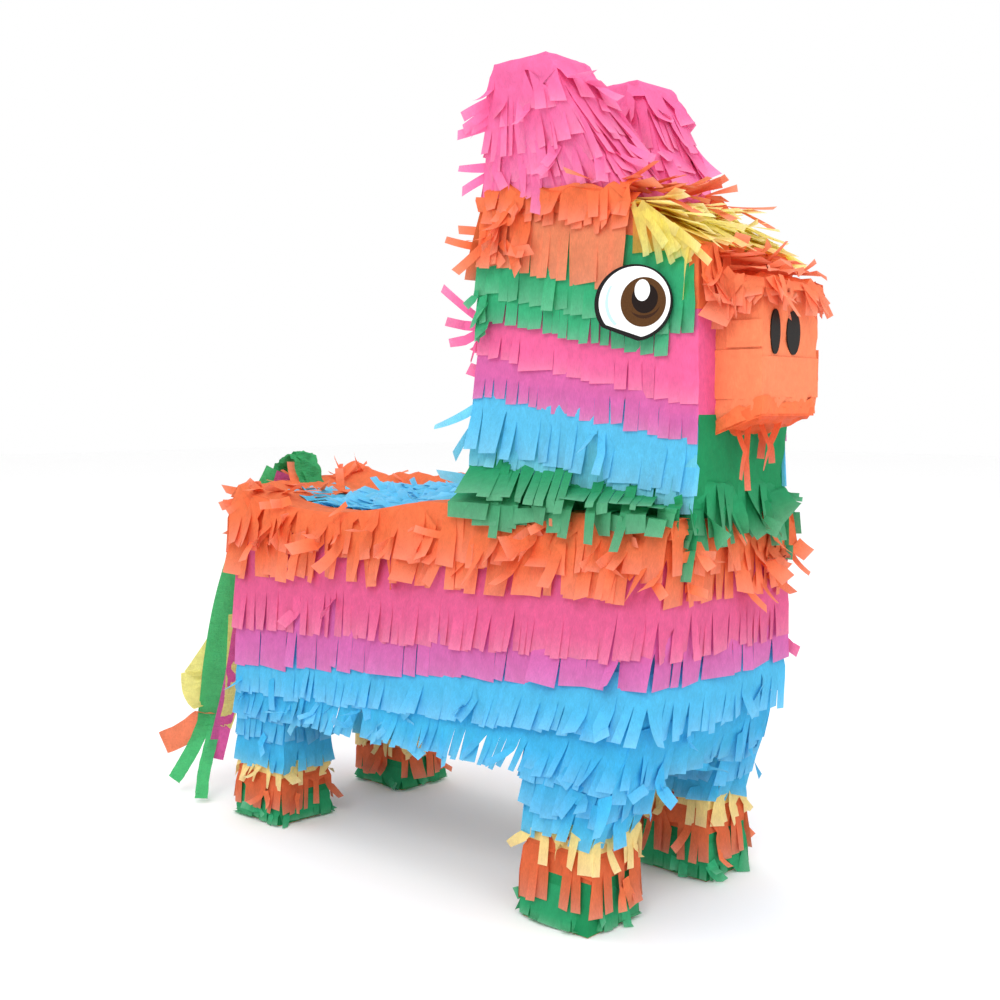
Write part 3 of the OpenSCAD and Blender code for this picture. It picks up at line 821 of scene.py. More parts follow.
def around(paper, *lines, **how):
    """A row on both sides and the back of the head."""
    for span in ((0.0, HC[1]), (HC[2], HEAD.length)):
        fringe(paper, HEAD, *lines, span=span, **how)


def lining(paper, low, high, colour):
    """A plain sheet under a row, round both sides and the back of the head."""
    for span in ((0.0, HC[1]), (HC[2], HEAD.length)):
        sheet(paper, HEAD, span, low, high, 0.5, colour, cols=30, rows=3, crumple=0.2)


NAPE = (HC[3] + 0.5 * MM, HEAD.length - 0.5 * MM)
FACE = (HC[1] - 1 * MM, HC[2] + 1 * MM)

p = Paper(31)
sheet(p, HEAD, (0, HEAD.length), 195, head_line(226, 226), 0.4, DARK_GREEN, cols=50)
sheet(p, HEAD, FACE, 200, 242, 1.0, DARK_GREEN, cols=14, rows=7, crumple=2.2)


def over_edge(edge, z):
    """Aims the neck's strips at the upper edge of the body's side, until they are past it."""
    def aim(q, slip):
        left = (edge * MM + slip) - abs(q[1])
        if left < 0.5 * MM or q[0] > CHEST_TOP:
            return None
        return Vector((0.55 * left, math.copysign(left, q[1]), min(z * MM - q[2], 0))).normalized()
    return aim


for cut, end, lift, edge, edge_z in ((head_line(213, 200), head_line(171, 165), 1.4, 57, 198),
                                     (head_line(218, 204), head_line(186, 177), 2.2, 60, 202)):
    how = dict(colour=DARK_GREEN.lerp(GREEN, lift / 5), lift=lift, width=6.0, loose=0.10, wild=0.6,
               ragged=1.4, gaps=0.04, rows=12)
    for span in ((0, HC[1]), (HC[2], HC[3])):
        fringe(p, HEAD, head_line(236, 222), cut, end, flare=0.1, span=span, aim=over_edge(edge, edge_z),
               **how)
    fringe(p, HEAD, head_line(236, 222), cut, head_line(192, 178), flare=0.12, span=NAPE, rest=level(edge_z),
           **how)
for cut, end, lift in ((203, 181, 2.0), (206, 188, 3.4)):
    fringe(p, HEAD, 212, cut, end, DARK_GREEN.lerp(GREEN, 0.3), lift, 6.4, span=FACE, loose=0.3, wild=0.9,
           flare=0.2, ragged=1.8, gaps=0.05, rows=7)
scraps(p, HEAD, 10, (0, HEAD.length), (198, 206), DARK_GREEN, 15, 5, 5, wild=0.7, lean=0.5)
p.make("neck_rows_green", ["neck_fringe_green"], slot="tissue_green")

p = Paper(32)
lining(p, head_line(216, 204), head_line(260, 242), BLUE.lerp(LIGHT_BLUE, 0.3))
around(p, head_line(250, 236), head_line(226, 216), head_line(215, 197), colour=LIGHT_BLUE.lerp(GREEN, 0.15),
       lift=2.4, width=5.2, wild=0.6, flare=0.16, ragged=1.2, wide=0.03)
around(p, head_line(262, 244), head_line(247, 228), head_line(223, 205), colour=BLUE.lerp(LIGHT_BLUE, 0.5),
       lift=2.2, width=5.4, loose=0.04, wild=0.6, flare=0.17, rows=6)
scraps(p, HEAD, 5, NAPE, (225, 240), BLUE, 22, 7, 4)
for height, rise in ((246, -0.6), (240, -1.6), (214, -0.9), (210, -1.4), (206, 0.2)):
    scrap(p, Vector((35, -36, height)) * MM, Vector((-0.8, -0.5, rise)).normalized(), Vector((0.3, 0, 0.95)),
          Vector((0, -1, 0)), p.rng.uniform(16, 24) * MM, 7 * MM, vary(p.rng, LIGHT_BLUE, 0.06),
          flare=p.rng.gauss(0, 0.2), curl=p.rng.gauss(0, 0.4), twist=p.rng.gauss(0, 0.5), rows=7)
p.make("head_rows_blue", ["head_fringe_blue"], slot="tissue_blue")

p = Paper(33)
lining(p, head_line(258, 240), head_line(282, 259), MAUVE)
around(p, head_line(282, 258), head_line(263, 244), head_line(251, 229), colour=MAUVE.lerp(HOT_PINK, 0.15),
       lift=1.8, width=7.2, loose=0.01, wide=0.12, ragged=0.8, flare=0.04)
p.make("head_rows_mauve", ["head_fringe_mauve"], slot="tissue_mauve")

p = Paper(34)
lining(p, head_line(280, 257), head_line(302, 283), HOT_PINK)
for span in ((HC[1] - 16 * MM, HC[1] + 15 * MM), (HC[2] - 15 * MM, HC[2] + 16 * MM)):
    sheet(p, HEAD, span, 242, 290, 1.2, HOT_PINK, cols=10, rows=10, crumple=0.3)
around(p, head_line(300, 284), head_line(284, 262), head_line(272, 246), colour=HOT_PINK, lift=1.6,
       width=7.2, loose=0.02, wild=0.7, wide=0.08, ragged=0.8, flare=0.04, shades=0.05)
scraps(p, HEAD, 8, NAPE, (262, 285), HOT_PINK, 18, 6, 4)
for height, rise in ((291, 0.7), (287, 0.1), (284, -0.5), (279, -0.9)):
    scrap(p, Vector((36, -36, height)) * MM, Vector((-0.95, -0.3, rise)).normalized(), UP,
          Vector((0, -1, 0)), p.rng.uniform(16, 24) * MM, 5 * MM, vary(p.rng, HOT_PINK, 0.06),
          flare=p.rng.gauss(0, 0.2), curl=p.rng.gauss(0, 0.4), twist=p.rng.gauss(0, 0.5),
          kink=(0.5, p.rng.gauss(0, 0.5), 0.3), rows=7)
p.make("head_rows_pink", ["head_fringe_pink"], slot="tissue_hot_pink")

p = Paper(35)
lining(p, head_line(300, 281), head_line(330, 316), GREEN)
for side in SIDES:
    for from_x, to_x, low_lift, high_lift in ((35, 117, 2.9, 3.5), (117, 170.5, 1.8, 2.1)):
        span = head_span(from_x, min(to_x, 158), side)
        fringe(p, HEAD, head_line(322, 298), head_line(304, 280), head_line(290, 264), GREEN, low_lift, 7,
               span=span, loose=0.02, wide=0.04, ragged=0.8, flare=0.03)
        span = head_span(from_x, to_x, side)
        fringe(p, HEAD, head_line(345, 317), head_line(320, 297), head_line(303, 276), GREEN, high_lift, 6.4,
               span=span, loose=0.0, wide=0.04, flare=0.02)
fringe(p, HEAD, 330, 312, 292, GREEN, 3.4, 6.5, span=NAPE, loose=0.25, ragged=1.6, flare=0.12)
scraps(p, HEAD, 12, NAPE, (296, 312), DARK_GREEN, 18, 6, 4)
scraps(p, HEAD, 6, (0, 8 * MM), (288, 308), GREEN, 16, 6, 5, wild=0.8)
p.make("head_rows_green", ["head_fringe_green"], slot="tissue_green")

p = Paper(36)


def crown_top(q):
    return brow_z(q[0]) + 0.6 * MM


lining(p, head_line(320, 316), lambda q: brow_z(q[0]), SALMON)
for side in SIDES:
    a, b = head_span(36.0, 133, side)
    fringe(p, HEAD, crown_top, head_line(337, 327), head_line(319, 290), SALMON, 4.0, 7, span=(a, b),
           loose=0.01, ragged=0.9, flare=0.03, shades=0.05, pale=0.05, rows=6)
    a, b = head_span(36.0, 72, side)
    fringe(p, HEAD, crown_top, head_line(341, 340), head_line(318, 318), ORANGE, 5.2, 6, span=(a, b),
           loose=0.3, wild=0.7, wide=0.05, ragged=1.8, gaps=0.18, flare=0.10, rows=6)
    a, b = head_span(38, 136, side)
    for rise, drop, lift in ((5, 10, 4.4), (11, 5, 5.2)):
        fringe(p, HEAD, lambda q: brow_z(q[0]) + (rise + 3) * MM, lambda q: brow_z(q[0]) + (rise - 4) * MM,
               lambda q: brow_z(q[0]) - drop * MM, ORANGE, lift, 6.2, span=(a, b), loose=0.2, wild=0.5,
               wide=0.15, ragged=1.8, flare=0.05, gaps=0.08, crumple=1.4, tuck=-0.8)
sheet(p, HEAD, (HC[1] - 3.5 * MM, HC[2] + 3.5 * MM), 289, 317, 1.6, ORANGE, cols=12)
for span in ((HC[1] + 0.5 * MM, HC[1] + 18 * MM), (HC[2] - 18 * MM, HC[2] - 0.5 * MM)):
    for lift in (2.6, 4.2):
        fringe(p, HEAD, 319, 313, 288, ORANGE, lift, 5, span=span, loose=0.4, wild=0.5, ragged=2.0, gaps=0.1,
               flare=0.16)
fringe(p, HEAD, 348, 337, 312, ORANGE, 3.4, 6, span=NAPE, loose=0.35, ragged=2.0, flare=0.14)
scraps(p, HEAD, 18, NAPE, (318, 342), ORANGE, 22, 5, 4, wild=1.1)
for edge_span in ((0.0, 26 * MM), (HC[3] - 26 * MM, HC[3])):
    scraps(p, HEAD, 12, edge_span, (326, 345), ORANGE, 22, 5, 6.5, wild=0.8, lean=0.8)

# over the crown: h is the distance behind the brow, measured along the top of the head
BROW = Vector((BROW_EDGE[0], 0, BROW_EDGE[1]))
CROWN_DIR = Vector((-94, 0, 11)).normalized()
FACE_DIR = Vector((35, 0, -21)).normalized()


def over_head(s, h):
    if h >= 0:
        return BROW + CROWN_DIR * h + Vector((0, s, 0))
    return BROW - FACE_DIR * h + Vector((0, s, 0))


CROWN = Wall(over_head, 0.074)
TOP_SPAN = (-38 * MM, 38 * MM)
sheet(p, CROWN, TOP_SPAN, -4, 94, 0.8, ORANGE.lerp(SALMON, 0.3), cols=16, rows=14, crumple=2.2)
for h, lift in ((70, 1.6), (50, 2.4), (30, 3.6), (16, 5.4)):
    fringe(p, CROWN, h + 14, h + 3, h - 15, ORANGE.lerp(SALMON, 0.35), lift, 6.6, span=TOP_SPAN, loose=0.2,
           wild=0.6, ragged=1.6, crumple=2.0, flare=0.12, wide=0.3, gaps=0.05)
for side in SIDES:
    foot = ring(ear_corners(side, 4.6 * MM), 350 * MM)
    sheet(p, foot, (0, foot.length), lambda q: brow_z(q[0]) - 3 * MM,
          lambda q: brow_z(q[0]) + (4 + 8 * min(1, max(0, (q[0] - 60 * MM) / (50 * MM)))) * MM, 0.4,
          ORANGE.lerp(SALMON, 0.4), cols=30, rows=4, crumple=2.6)
for _ in range(22):
    s = p.rng.uniform(-35, 35) * MM
    q, across, down, out = CROWN.at(s, p.rng.uniform(-8, 24) * MM)
    d, w = turned(down, across, p.rng.gauss(0, 0.5))
    scrap(p, q + out * 10 * MM, d, w, out, p.rng.uniform(18, 30) * MM, p.rng.uniform(4.5, 8) * MM,
          vary(p.rng, ORANGE.lerp(SALMON, 0.3), 0.08), flare=p.rng.uniform(0.1, 0.45),
          curl=p.rng.gauss(-0.1, 0.25), twist=p.rng.gauss(0, 0.4), rows=7, floor=1 * MM)
p.make("head_rows_orange", ["head_fringe_orange"], slot="tissue_coral")

p = Paper(37)
sheet(p, CROWN, TOP_SPAN, -42, 2, 2.2, GOLD, cols=14, rows=6, crumple=1.0)
for h, lift in ((-26, 2.4), (-17, 3.4), (-8, 4.2), (-2, 4.8)):
    fringe(p, CROWN, h + 9, h + 2, h - 20, YELLOW, lift, 5.0, span=TOP_SPAN, loose=0.2, wild=0.4, ragged=1.4,
           crumple=0.8, flare=0.16, wide=0.04, header_rows=2, pale=0.3)
for _ in range(34):
    s = p.rng.uniform(-35, 35) * MM
    q, across, down, out = CROWN.at(s, p.rng.uniform(-24, 2) * MM)
    d, w = turned(down, across, p.rng.gauss(0.2, 0.35))
    scrap(p, q + out * p.rng.uniform(4, 7) * MM, d, w, out, p.rng.uniform(18, 30) * MM,
          p.rng.uniform(3.5, 5.5) * MM, vary(p.rng, YELLOW, 0.05), flare=p.rng.uniform(0.05, 0.35),
          curl=p.rng.gauss(-0.05, 0.2), twist=p.rng.gauss(0, 0.3), rows=7, floor=0.5 * MM, pale=0.3)
# strips over both edges of the forehead, and one crinkled by the face
for side in SIDES:
    sheet(p, HEAD, head_span(136, 171.5, side), 316, lambda q: brow_z(q[0]) + 1 * MM, 2.4, GOLD, cols=10,
          rows=3)
    for i in range(17):
        x = 136 + 30 * (i + p.rng.random()) / 17
        a = p.rng.uniform(0.2, 1.0)
        height = brow_z(x * MM) / MM + p.rng.uniform(1, 4)
        length = min(27, max(7, (height - p.rng.uniform(308, 318)) / math.cos(a)))
        d, w = Vector((math.sin(a), 0, -math.cos(a))), Vector((math.cos(a), 0, math.sin(a)))
        start = Vector((x * MM, side * (HEAD_HALF + p.rng.uniform(3, 5) * MM), height * MM))
        scrap(p, start, d, w, Vector((0, side, 0)), length * MM, p.rng.uniform(3.2, 5) * MM,
              vary(p.rng, YELLOW, 0.05), flare=p.rng.gauss(0.03, 0.05), curl=p.rng.gauss(0, 0.1),
              twist=p.rng.gauss(0, 0.15), rows=6, pale=0.2, floor=0.2 * MM)
    scrap(p, Vector((168.5 * MM, side * (HEAD_HALF + 4.5 * MM), 316 * MM)), Vector((-0.08, 0, -1)),
          Vector((0.85, 0.5 * side, 0)), Vector((-0.5, side * 0.85, 0)), 23 * MM, 4.4 * MM, YELLOW,
          curl=-0.15, sway=0.05, twist=0.6, kink=(0.6, -0.15, -0.35), rows=8)
p.make("forehead_rows_yellow", ["forehead_fringe_yellow"], material=SUNNY, slot="tissue_yellow")

# ---------------------------------------------------------------- ears

for side, name in ((-1, "right"), (1, "left")):
    p = Paper(40 + side)
    wall = ring(ear_corners(side), 380 * MM)
    whole = (0.0, wall.length)
    top_z = 412.5 * MM

    def ear_end(z):
        """Rows stop above the crown, but hang on down the head's side."""
        return lambda q: z * MM if abs(q[1]) > HEAD_HALF - 1 * MM else max(z * MM, brow_z(q[0]) + 9 * MM)

    def base(q):
        return brow_z(q[0]) + 1.5 * MM

    sheet(p, wall, whole, base, 412.4, 0.3, EAR_PINK, cols=28, rows=7, crumple=0.9)
    for top, cut, end, lift in ((370, 362, 346, 0.9), (380, 371, 350, 1.1), (391, 382, 358, 1.3),
                                (402, 393, 369, 1.5)):
        fringe(p, wall, top, cut, ear_end(end), EAR_PINK, lift, 5.2, loose=0.2, wild=0.6, ragged=1.6,
               gaps=0.06, crumple=0.8, flare=0.07, wide=0.0, shades=0.07, rows=6)
    fringe(p, wall, 412.3, 401, 386, EAR_PINK, 1.4, 6, loose=0.3, wild=0.6, ragged=2.5, gaps=0.3,
           crumple=2.0, flare=0.10, wide=0.1, header_rows=5, shades=0.05)
    scraps(p, wall, 30, whole, (354, 396), EAR_PINK, 20, 5, 2.4, wild=0.6, lean=0.5)
    for height, drop in ((397, -0.5), (394, -0.9), (390, -1.3), (386, -0.4), (366, -0.1), (362, -0.5)):
        rear, outer = ear_corners(side)(height * MM)[0 if side < 0 else 3]
        d = Vector((-0.73, side * 0.68, drop + p.rng.gauss(0, 0.1))).normalized()
        scrap(p, Vector((rear, outer, height * MM)), d, UP, Vector((0, side, 0)), p.rng.uniform(12, 18) * MM,
              5 * MM, vary(p.rng, EAR_PINK, 0.05), curl=p.rng.gauss(0, 0.3), twist=p.rng.gauss(0, 0.4),
              rows=6)
    c = [Vector((*q, top_z)) for q in ear_corners(side)(top_z)]
    n = 6

    def lid_point(i, j):
        q = c[0].lerp(c[1], i / n).lerp(c[3].lerp(c[2], i / n), j / n)
        rim = 0 if i in (0, n) or j in (0, n) else 1
        return p.point(q + UP * (rim * (0.6 + crease(q, 9 * MM, 2)) * 1.3 * MM), EAR_PINK)

    p.faces.extend(cells(grid_of(n, n, lid_point), n, n))
    p.make("ear_rows_" + name, ["ear_fringe_" + name], slot="tissue_hot_pink")

# ---------------------------------------------------------------- muzzle

wrap_low, wrap_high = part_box("muzzle_wrap")


def muzzle_corners(z):
    x0 = wrap_low[0] - 2 * MM
    return [(x0, wrap_low[1]), (wrap_high[0], wrap_low[1]), (wrap_high[0], wrap_high[1]), (x0, wrap_high[1])]


def muzzle_top(x):
    return line_at(x, 306 * MM, 173 * MM, 301 * MM, 197 * MM)


def muzzle_bottom(x):
    return line_at(x, 235 * MM, 173 * MM, 244 * MM, 197 * MM)


MUZZLE = ring(muzzle_corners, 270 * MM)
MC = MUZZLE.corners


def muzzle_bulge(q, j):
    """How far the wrap stands off the box: creased at the bottom, nearly flat above."""
    low_part = max(0.0, 1 - j / 5)
    folds = (0.5 + 2.6 * low_part) * crease(q, 11 * MM, 4)
    return (folds + 0.5 * rough(q, 6 * MM, 8) - 1.6 * low_part ** 3 - 0.4) * MM


p = Paper(50)
SKIN_COLUMNS, SKIN_ROWS = 46, 22
LID_COLUMNS, LID_ROWS = 9, 16


def skin_point(i, j):
    s = MC[3] * i / SKIN_COLUMNS
    for edge in MC[1:3]:
        if abs(s - edge) < MC[3] / SKIN_COLUMNS / 2:
            s = edge
    x = MUZZLE.point(s, 0.27)[0]
    low, high = muzzle_bottom(x), muzzle_top(x)
    q, across, down, out = MUZZLE.at(s, low + (high - low) * j / SKIN_ROWS)
    sag = -1.5 * MM * crease(q, 9 * MM, 11) if j == 0 else 0
    return p.point(q + out * muzzle_bulge(q, j) + UP * sag, vary(p.rng, MUZZLE_ORANGE, 0.015))


p.faces.extend(cells(grid_of(SKIN_COLUMNS, SKIN_ROWS, skin_point), SKIN_COLUMNS, SKIN_ROWS))
# the lids on the muzzle's top and bottom: the top one plain orange, the bottom one darker orange as painted
# shade on the underside
for height, sign, colour in ((muzzle_bottom, -1, SHADED_ORANGE), (muzzle_top, 1, ORANGE)):
    def lid_point(i, j):
        x = wrap_low[0] - 1 * MM + (wrap_high[0] - wrap_low[0] + 1 * MM) * i / LID_COLUMNS
        y = wrap_low[1] + (wrap_high[1] - wrap_low[1]) * j / LID_ROWS
        q = Vector((x, y, height(x)))
        rim = i == LID_COLUMNS or j in (0, LID_ROWS)
        amount = (0.3 + 3.4 * crease(q, 12 * MM, 6)) * (0.3 if rim else 1) * MM
        return p.point(q + UP * sign * amount, vary(p.rng, colour, 0.03))

    for quad in cells(grid_of(LID_COLUMNS, LID_ROWS, lid_point), LID_COLUMNS, LID_ROWS):
        p.faces.append(quad[::sign])


def panel(s_a, s_b, z_a, z_b, lift, colour, cols=8):
    """A pasted sheet whose edges show, a little off the muzzle."""
    sheet(p, MUZZLE, (s_a, s_b), z_a, z_b, lift, colour, cols=cols, rows=8)


panel(1 * MM, MC[1] + 1.5 * MM, 249, 271, 0.4, MUZZLE_ORANGE)
panel(8 * MM, MC[1] - 1 * MM, 272, 284, 0.6, MUZZLE_ORANGE)
panel(MC[1] - 1 * MM, MC[2] + 2 * MM, 250, 268, 0.3, MUZZLE_ORANGE, cols=14)
panel(MC[2] - 1 * MM, MC[3] - 4 * MM, 250, 272, 0.4, MUZZLE_ORANGE)
# the wrap's loose edge, folded and gathered along the bottom; the lower layer takes more of the darker
# orange, painted shade under the muzzle
for lift, deep, high, tone in ((0.4, 1.5, 5.0, 0.2), (0.0, 2.5, 3.0, 0.6)):
    sheet(p, MUZZLE, (1 * MM, MC[2] - 3 * MM), lambda q: muzzle_bottom(q[0]) - deep * MM,
          lambda q: muzzle_bottom(q[0]) + high * (0.5 + crease(q, 16 * MM, 2)) * MM, lift,
          ORANGE.lerp(SHADED_ORANGE, tone), cols=40, crumple=1.2)
p.make("muzzle_paper", ["muzzle_wrap"], material=WRAP, slot="tissue_orange")

# orange fringe over the muzzle's top, and the torn strips hanging under it
p = Paper(51)


def over_front(q, slip):
    """Turns the strips down once they are past the muzzle's front."""
    return Vector((0.2, 0, -1)) if q[0] > wrap_high[0] + 1.5 * MM + slip else None


MUZZLE_TOP = Wall(lambda s, h: Vector((wrap_high[0] - h, s, muzzle_top(wrap_high[0] - h) + 0.5 * MM)), 0.05)
for h, lift in ((30, 7.0), (20, 5.5), (9, 3.5)):
    fringe(p, MUZZLE_TOP, h + 8, h + 2, h - 13, MUZZLE_ORANGE, lift, 6.0, span=(-27 * MM, 27 * MM),
           loose=0.4, wild=0.6, ragged=1.4, crumple=1.2, flare=0.12, wide=0.15, header_rows=2, rows=8,
           aim=over_front)


def top_edge(q):
    return muzzle_top(q[0]) + 1 * MM


for end_0, end_1, lift in ((270, 292.5, 1.8), (280, 296, 3.0)):
    fringe(p, MUZZLE, top_edge, lambda q: muzzle_top(q[0]) - 3 * MM, ramp(173, end_0, 197, end_1),
           MUZZLE_ORANGE, lift, 6.0, span=(-6 * MM, MC[3]), loose=0.4, wild=0.6, ragged=2.0, gaps=0.18,
           flare=0.12, wide=0.2, crumple=1.0, header_rows=2, rows=6)
for _ in range(26):
    s = p.rng.uniform(0, MC[3])
    q, across, down, out = MUZZLE.at(s, muzzle_top(MUZZLE.point(s, 0.3)[0]) - 1 * MM)
    d, w = turned(down, across, p.rng.gauss(0, 0.45))
    scrap(p, q + out * 3 * MM + UP * p.rng.uniform(0, 4) * MM, d, w, out, p.rng.uniform(12, 22) * MM,
          p.rng.uniform(3.5, 6) * MM, vary(p.rng, MUZZLE_ORANGE, 0.08), flare=p.rng.uniform(0.1, 0.7),
          curl=p.rng.gauss(-0.2, 0.5), twist=p.rng.gauss(0, 0.6), rows=7, floor=0.5 * MM)
# torn strips hanging under the muzzle, in the darker orange that is painted shade there
for x, y, length, sway in ((178, -16, 30, 0.5), (182, -10, 34, -0.1), (185, -6, 26, 0.6), (190, 4, 24, -0.5),
                           (176, 8, 20, 0.3)):
    scrap(p, Vector((x, y, 241)) * MM, -UP, Vector((0.73, 0.68, 0)), Vector((0.68, -0.73, 0)), length * MM,
          p.rng.uniform(2.4, 3.6) * MM, vary(p.rng, SHADED_ORANGE, 0.06), flare=p.rng.uniform(-0.3, 0.3),
          curl=p.rng.gauss(0, 0.3), sway=sway, twist=p.rng.gauss(0, 0.8), kink=(0.6, 0.0, -1.3 * sway),
          rows=9)
p.make("muzzle_fringe", [], slot="tissue_orange")

# ---------------------------------------------------------------- eyes

EYE_TILT = math.radians(12)
OVAL_POINTS = 96


def oval(w, h, x=0.0, y=0.0, cut=None):
    """An oval w by h about (x, y); cut is a line (nx, ny, limit) it doesn't cross."""
    out = []
    for i in range(OVAL_POINTS):
        a = 2 * math.pi * i / OVAL_POINTS
        px, py = x + w / 2 * math.cos(a), y + h / 2 * math.sin(a)
        if cut:
            over = px * cut[0] + py * cut[1] - cut[2]
            if over > 0:
                px, py = px - cut[0] * over, py - cut[1] * over
        out.append((px, py))
    return out


def crescent(outer, inner, first, last):
    """The space between two ovals, from their first point to their last."""
    return outer[first:last] + inner[first:last][::-1]


EYE_CUT = (-0.342, -0.94, 15.3)
# each shape in mm, its height above the card from and to, and its ink
PRINT = [
    (oval(39, 35, cut=EYE_CUT), -1.0, 0.05, 0),
    (oval(35.8, 32.3, 0.75, 0.3, cut=(-0.316, -0.949, 13.3)), 0.05, 0.12, 1),
    (crescent(oval(29.4, 27.8, 0.8, 0.3), oval(27.0, 26.8, 1.2, 0.9), 39, 62), 0.12, 0.15, 2),
    (oval(22.6, 22.4, 5.3, 0.2), 0.12, 0.18, 3),
    (oval(13, 13.4, 6.1, 1.8), 0.18, 0.24, 4),
    (crescent(oval(16, 15.4, 6.0, 0.4), oval(17.6, 13.6, 5.6, 1.0), 60, 90), 0.18, 0.22, 5),
    (oval(7.6, 9.7, 4.9, 5.5), 0.24, 0.3, 1),
]
for side, name in ((-1, "right"), (1, "left")):
    low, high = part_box("eye_" + name)
    mid = (Vector(low) + Vector(high)) / 2
    mid[0], mid[2] = 140.5 * MM + 4.5 * MM * math.sin(EYE_TILT), 292.8 * MM
    out = Vector((math.sin(EYE_TILT), side * math.cos(EYE_TILT), 0))
    across = Vector((math.cos(EYE_TILT), -side * math.sin(EYE_TILT), 0))
    points, faces, inks = [], [], []
    for shape, z0, z1, ink in PRINT:
        base, n = len(points), len(shape)
        for z in (z0, z1):
            points.extend(mid + across * x * MM + UP * y * MM + out * (0.5 + z) * MM for x, y in shape)
        front = [tuple(base + n + i for i in range(n))]
        if n < OVAL_POINTS:
            first, last = base + n, base + 2 * n - 1
            front = [(first + i, first + i + 1, last - 1 - i, last - i) for i in range(n // 2 - 1)]
        faces.extend(front)
        rim = [(base + i, base + (i + 1) % n, base + n + (i + 1) % n, base + n + i) for i in range(n)]
        faces.extend(rim)
        inks.extend([ink] * (len(front) + len(rim)))
    back = len(PRINT[0][0])
    faces.append(tuple(reversed(range(back))))
    inks.append(0)
    mesh = bpy.data.meshes.new("eye_print_" + name)
    mesh.from_pydata(points, [], faces)
    for m in (OUTLINE, WHITE, SKY, BROWN, PUPIL, LIP):
        mesh.materials.append(m)
    mesh.polygons.foreach_set("material_index", inks)
    mesh.update()
    if side > 0:
        mesh.flip_normals()
    o = put(mesh, "eye_print_" + name)
    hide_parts("eye_" + name)
    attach(o, "donkey")

# ---------------------------------------------------------------- tail


def streamer(paper, route, width, colour, start, end=None, ripple=0.8, cols=4, per=6):
    """A crepe ribbon through the points of route, (x, y, z) in mm, its width turning from start to end."""
    pts = [Vector(q) * MM for q in route]
    path = []
    for i in range(len(pts) - 1):
        a, b, c, d = pts[max(i - 1, 0)], pts[i], pts[i + 1], pts[min(i + 2, len(pts) - 1)]
        for k in range(per):
            t = k / per
            path.append(0.5 * ((2 * b) + (c - a) * t + (2 * a - 5 * b + 4 * c - d) * t * t
                               + (3 * b - a - 3 * c + d) * t ** 3))
    path.append(pts[-1])
    phase = paper.rng.uniform(0, 6)
    start, end = Vector(start), Vector(end or start)
    grid = []
    for i, q in enumerate(path):
        t = i / (len(path) - 1)
        along = (path[min(i + 1, len(path) - 1)] - path[max(i - 1, 0)]).normalized()
        wide = start.lerp(end, t)
        wide = (wide - along * wide.dot(along)).normalized()
        face = along.cross(wide)
        line = []
        for j in range(cols + 1):
            v = j / cols - 0.5
            r = ripple * MM * (noise.noise(Vector((phase, t * 22, v * 2))) + 0.5 * math.sin(40 * t + 3 * v))
            line.append(paper.point(q + wide * v * width * MM + face * r, vary(paper.rng, colour, 0.03)))
        grid.append(line)
    for a, b in zip(grid, grid[1:]):
        for j in range(cols):
            paper.faces.append((a[j], b[j], b[j + 1], a[j + 1]))


SIGHT, ACROSS = (0.73, 0.68, 0), (0.35, 0.94, 0)
TAILS = {
    "green": (CREPE_GREEN, [
        ([(-172, -8, 204), (-176, -20, 180), (-178, -34, 150), (-180, -44, 118), (-182, -50, 85),
          (-182, -54, 58), (-181, -57, 44)], 18, ACROSS, SIGHT),
        ([(-184, -58, 50), (-187, -64, 34), (-192, -70, 20), (-196, -75, 10)], 9, SIGHT, (0.6, 0.5, 0.6)),
        ([(-178, -54, 50), (-177, -60, 34), (-173, -68, 18), (-169, -73, 3)], 8, SIGHT, SIGHT)]),
    "yellow": (CREPE_YELLOW, [
        ([(-176, -4, 203), (-181, -14, 176), (-184, -28, 146), (-186, -38, 120), (-187, -46, 100),
          (-192, -55, 84), (-196, -61, 74)], 11, ACROSS, SIGHT),
        ([(-196, -61, 77), (-193, -62, 66), (-186, -60, 56)], 13, SIGHT, (0.5, 0.5, -0.7)),
        ([(-178, -6, 203), (-181, -22, 170), (-179, -36, 130), (-173, -44, 92), (-170, -49, 60),
          (-172, -53, 44)], 9, ACROSS, SIGHT)]),
    "orange": (CREPE_ORANGE, [
        ([(-180, 0, 202), (-186, -12, 172), (-188, -28, 140), (-188, -42, 108), (-187, -50, 76),
          (-186, -54, 56), (-190, -62, 44), (-197, -70, 37), (-203, -78, 33)], 15, ACROSS, (0.15, 0.1, 1))]),
    "pink": (CREPE_PINK, [
        ([(-168.5, -6, 203), (-170, -16, 176), (-171, -28, 146), (-171, -38, 112), (-171, -46, 76),
          (-173, -54, 44), (-176, -58, 24)], 11, ACROSS, SIGHT)]),
}
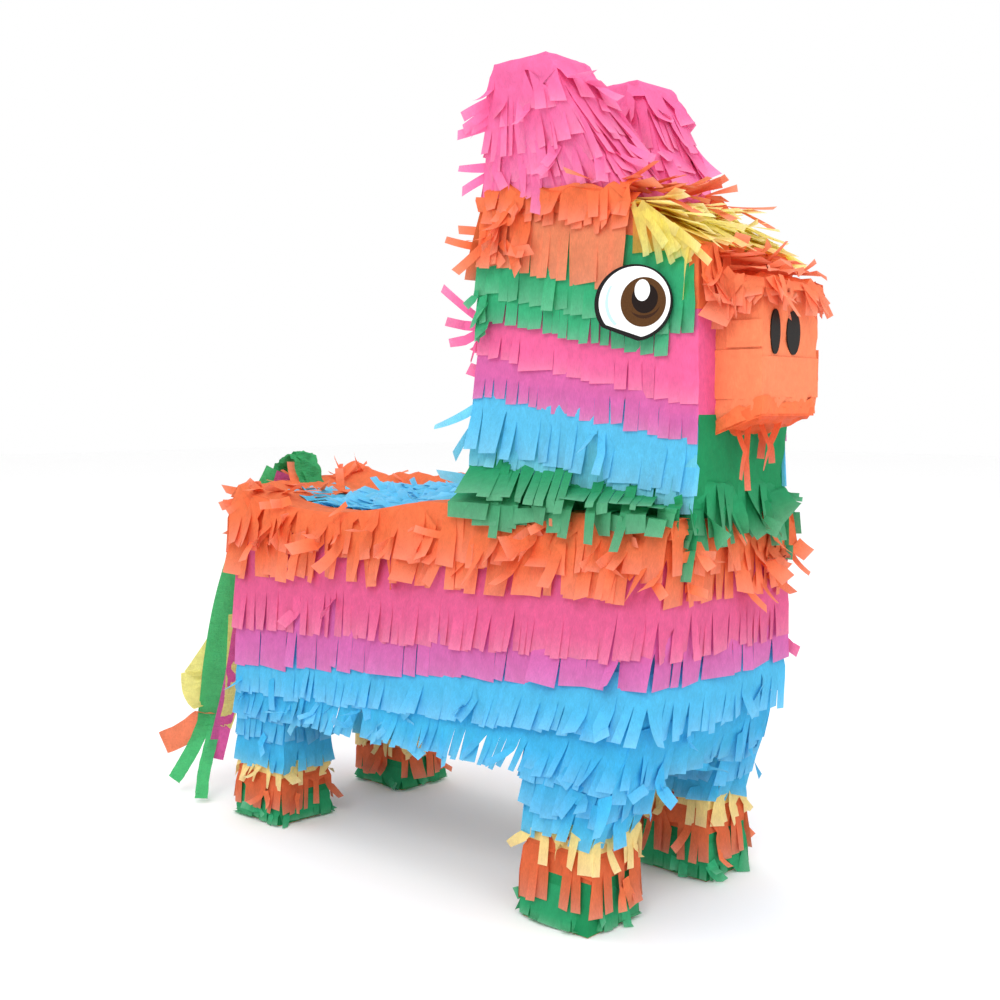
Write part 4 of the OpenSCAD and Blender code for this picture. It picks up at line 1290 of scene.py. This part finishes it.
for i, (name, (colour, routes)) in enumerate(TAILS.items()):
    p = Paper(60 + i)
    for route, width, start, end in routes:
        streamer(p, route, width, colour, start, end)
    o = p.make("tail_crepe_" + name, ["tail_" + name], material=CREPE, slot="crepe_" + name, body=None)
    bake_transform(o)

p = Paper(70)
ROOT = [(-144, 0, 191), (-150, 0, 200), (-156, 1, 211), (-162, 1, 215), (-170, 0, 211), (-176, -1, 205),
        (-178, -2, 200)]
for dy, dz, width in ((-3, 0, 13), (4, 0.8, 12), (0, 1.8, 10)):
    streamer(p, [(x, y + dy, z + dz) for x, y, z in ROOT], width, CREPE_GREEN.lerp(DARK_GREEN, 0.35),
             (0, 1, 0), ripple=1.4)
p.make("tail_loop_green", ["tail_root"], material=CREPE, slot="crepe_green")

# ---------------------------------------------------------------- the CAD parts that show

for name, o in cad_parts.items():
    black = name.startswith("nostril")
    o.data.materials.clear()
    o.data.materials.append(BLACK if black else KRAFT)

# ---------------------------------------------------------------- stage, light and camera

mesh = bpy.data.meshes.new("floor")
mesh.from_pydata([(-6, -6, 0), (6, -6, 0), (6, 6, 0), (-6, 6, 0)], [], [(0, 1, 2, 3)])
mesh.materials.append(pale_floor())
put(mesh, "floor")

world = bpy.data.worlds.new("studio")
world.use_nodes = True
world.node_tree.nodes["Background"].inputs["Color"].default_value = (1, 1, 1, 1)
world.node_tree.nodes["Background"].inputs["Strength"].default_value = 1.0
bpy.context.scene.world = world


def area(name, place, size, power):
    light = bpy.data.lights.new(name, "AREA")
    light.shape = "DISK"
    light.size = size
    light.energy = power
    target = Vector((0, 0, 0.2))
    o = put(light, name)
    o.location = place
    o.rotation_euler = (target - Vector(place)).to_track_quat("-Z", "Y").to_euler()


area("key", (0.9, -1.5, 1.6), 1.2, 16)
area("fill", (1.9, 0.6, 1.2), 1.4, 6)
area("top", (-0.3, -0.2, 2.2), 1.6, 8)

camera = bpy.data.cameras.new("camera")
camera.lens = 45.94
camera.sensor_width = 36
eye = put(camera, "camera")
eye.location = (0.498, -0.514, 0.245)
eye.rotation_euler = (math.radians(85.88), 0, math.radians(43.1))
bpy.context.scene.camera = eye
bpy.context.scene.view_settings.view_transform = "Standard"
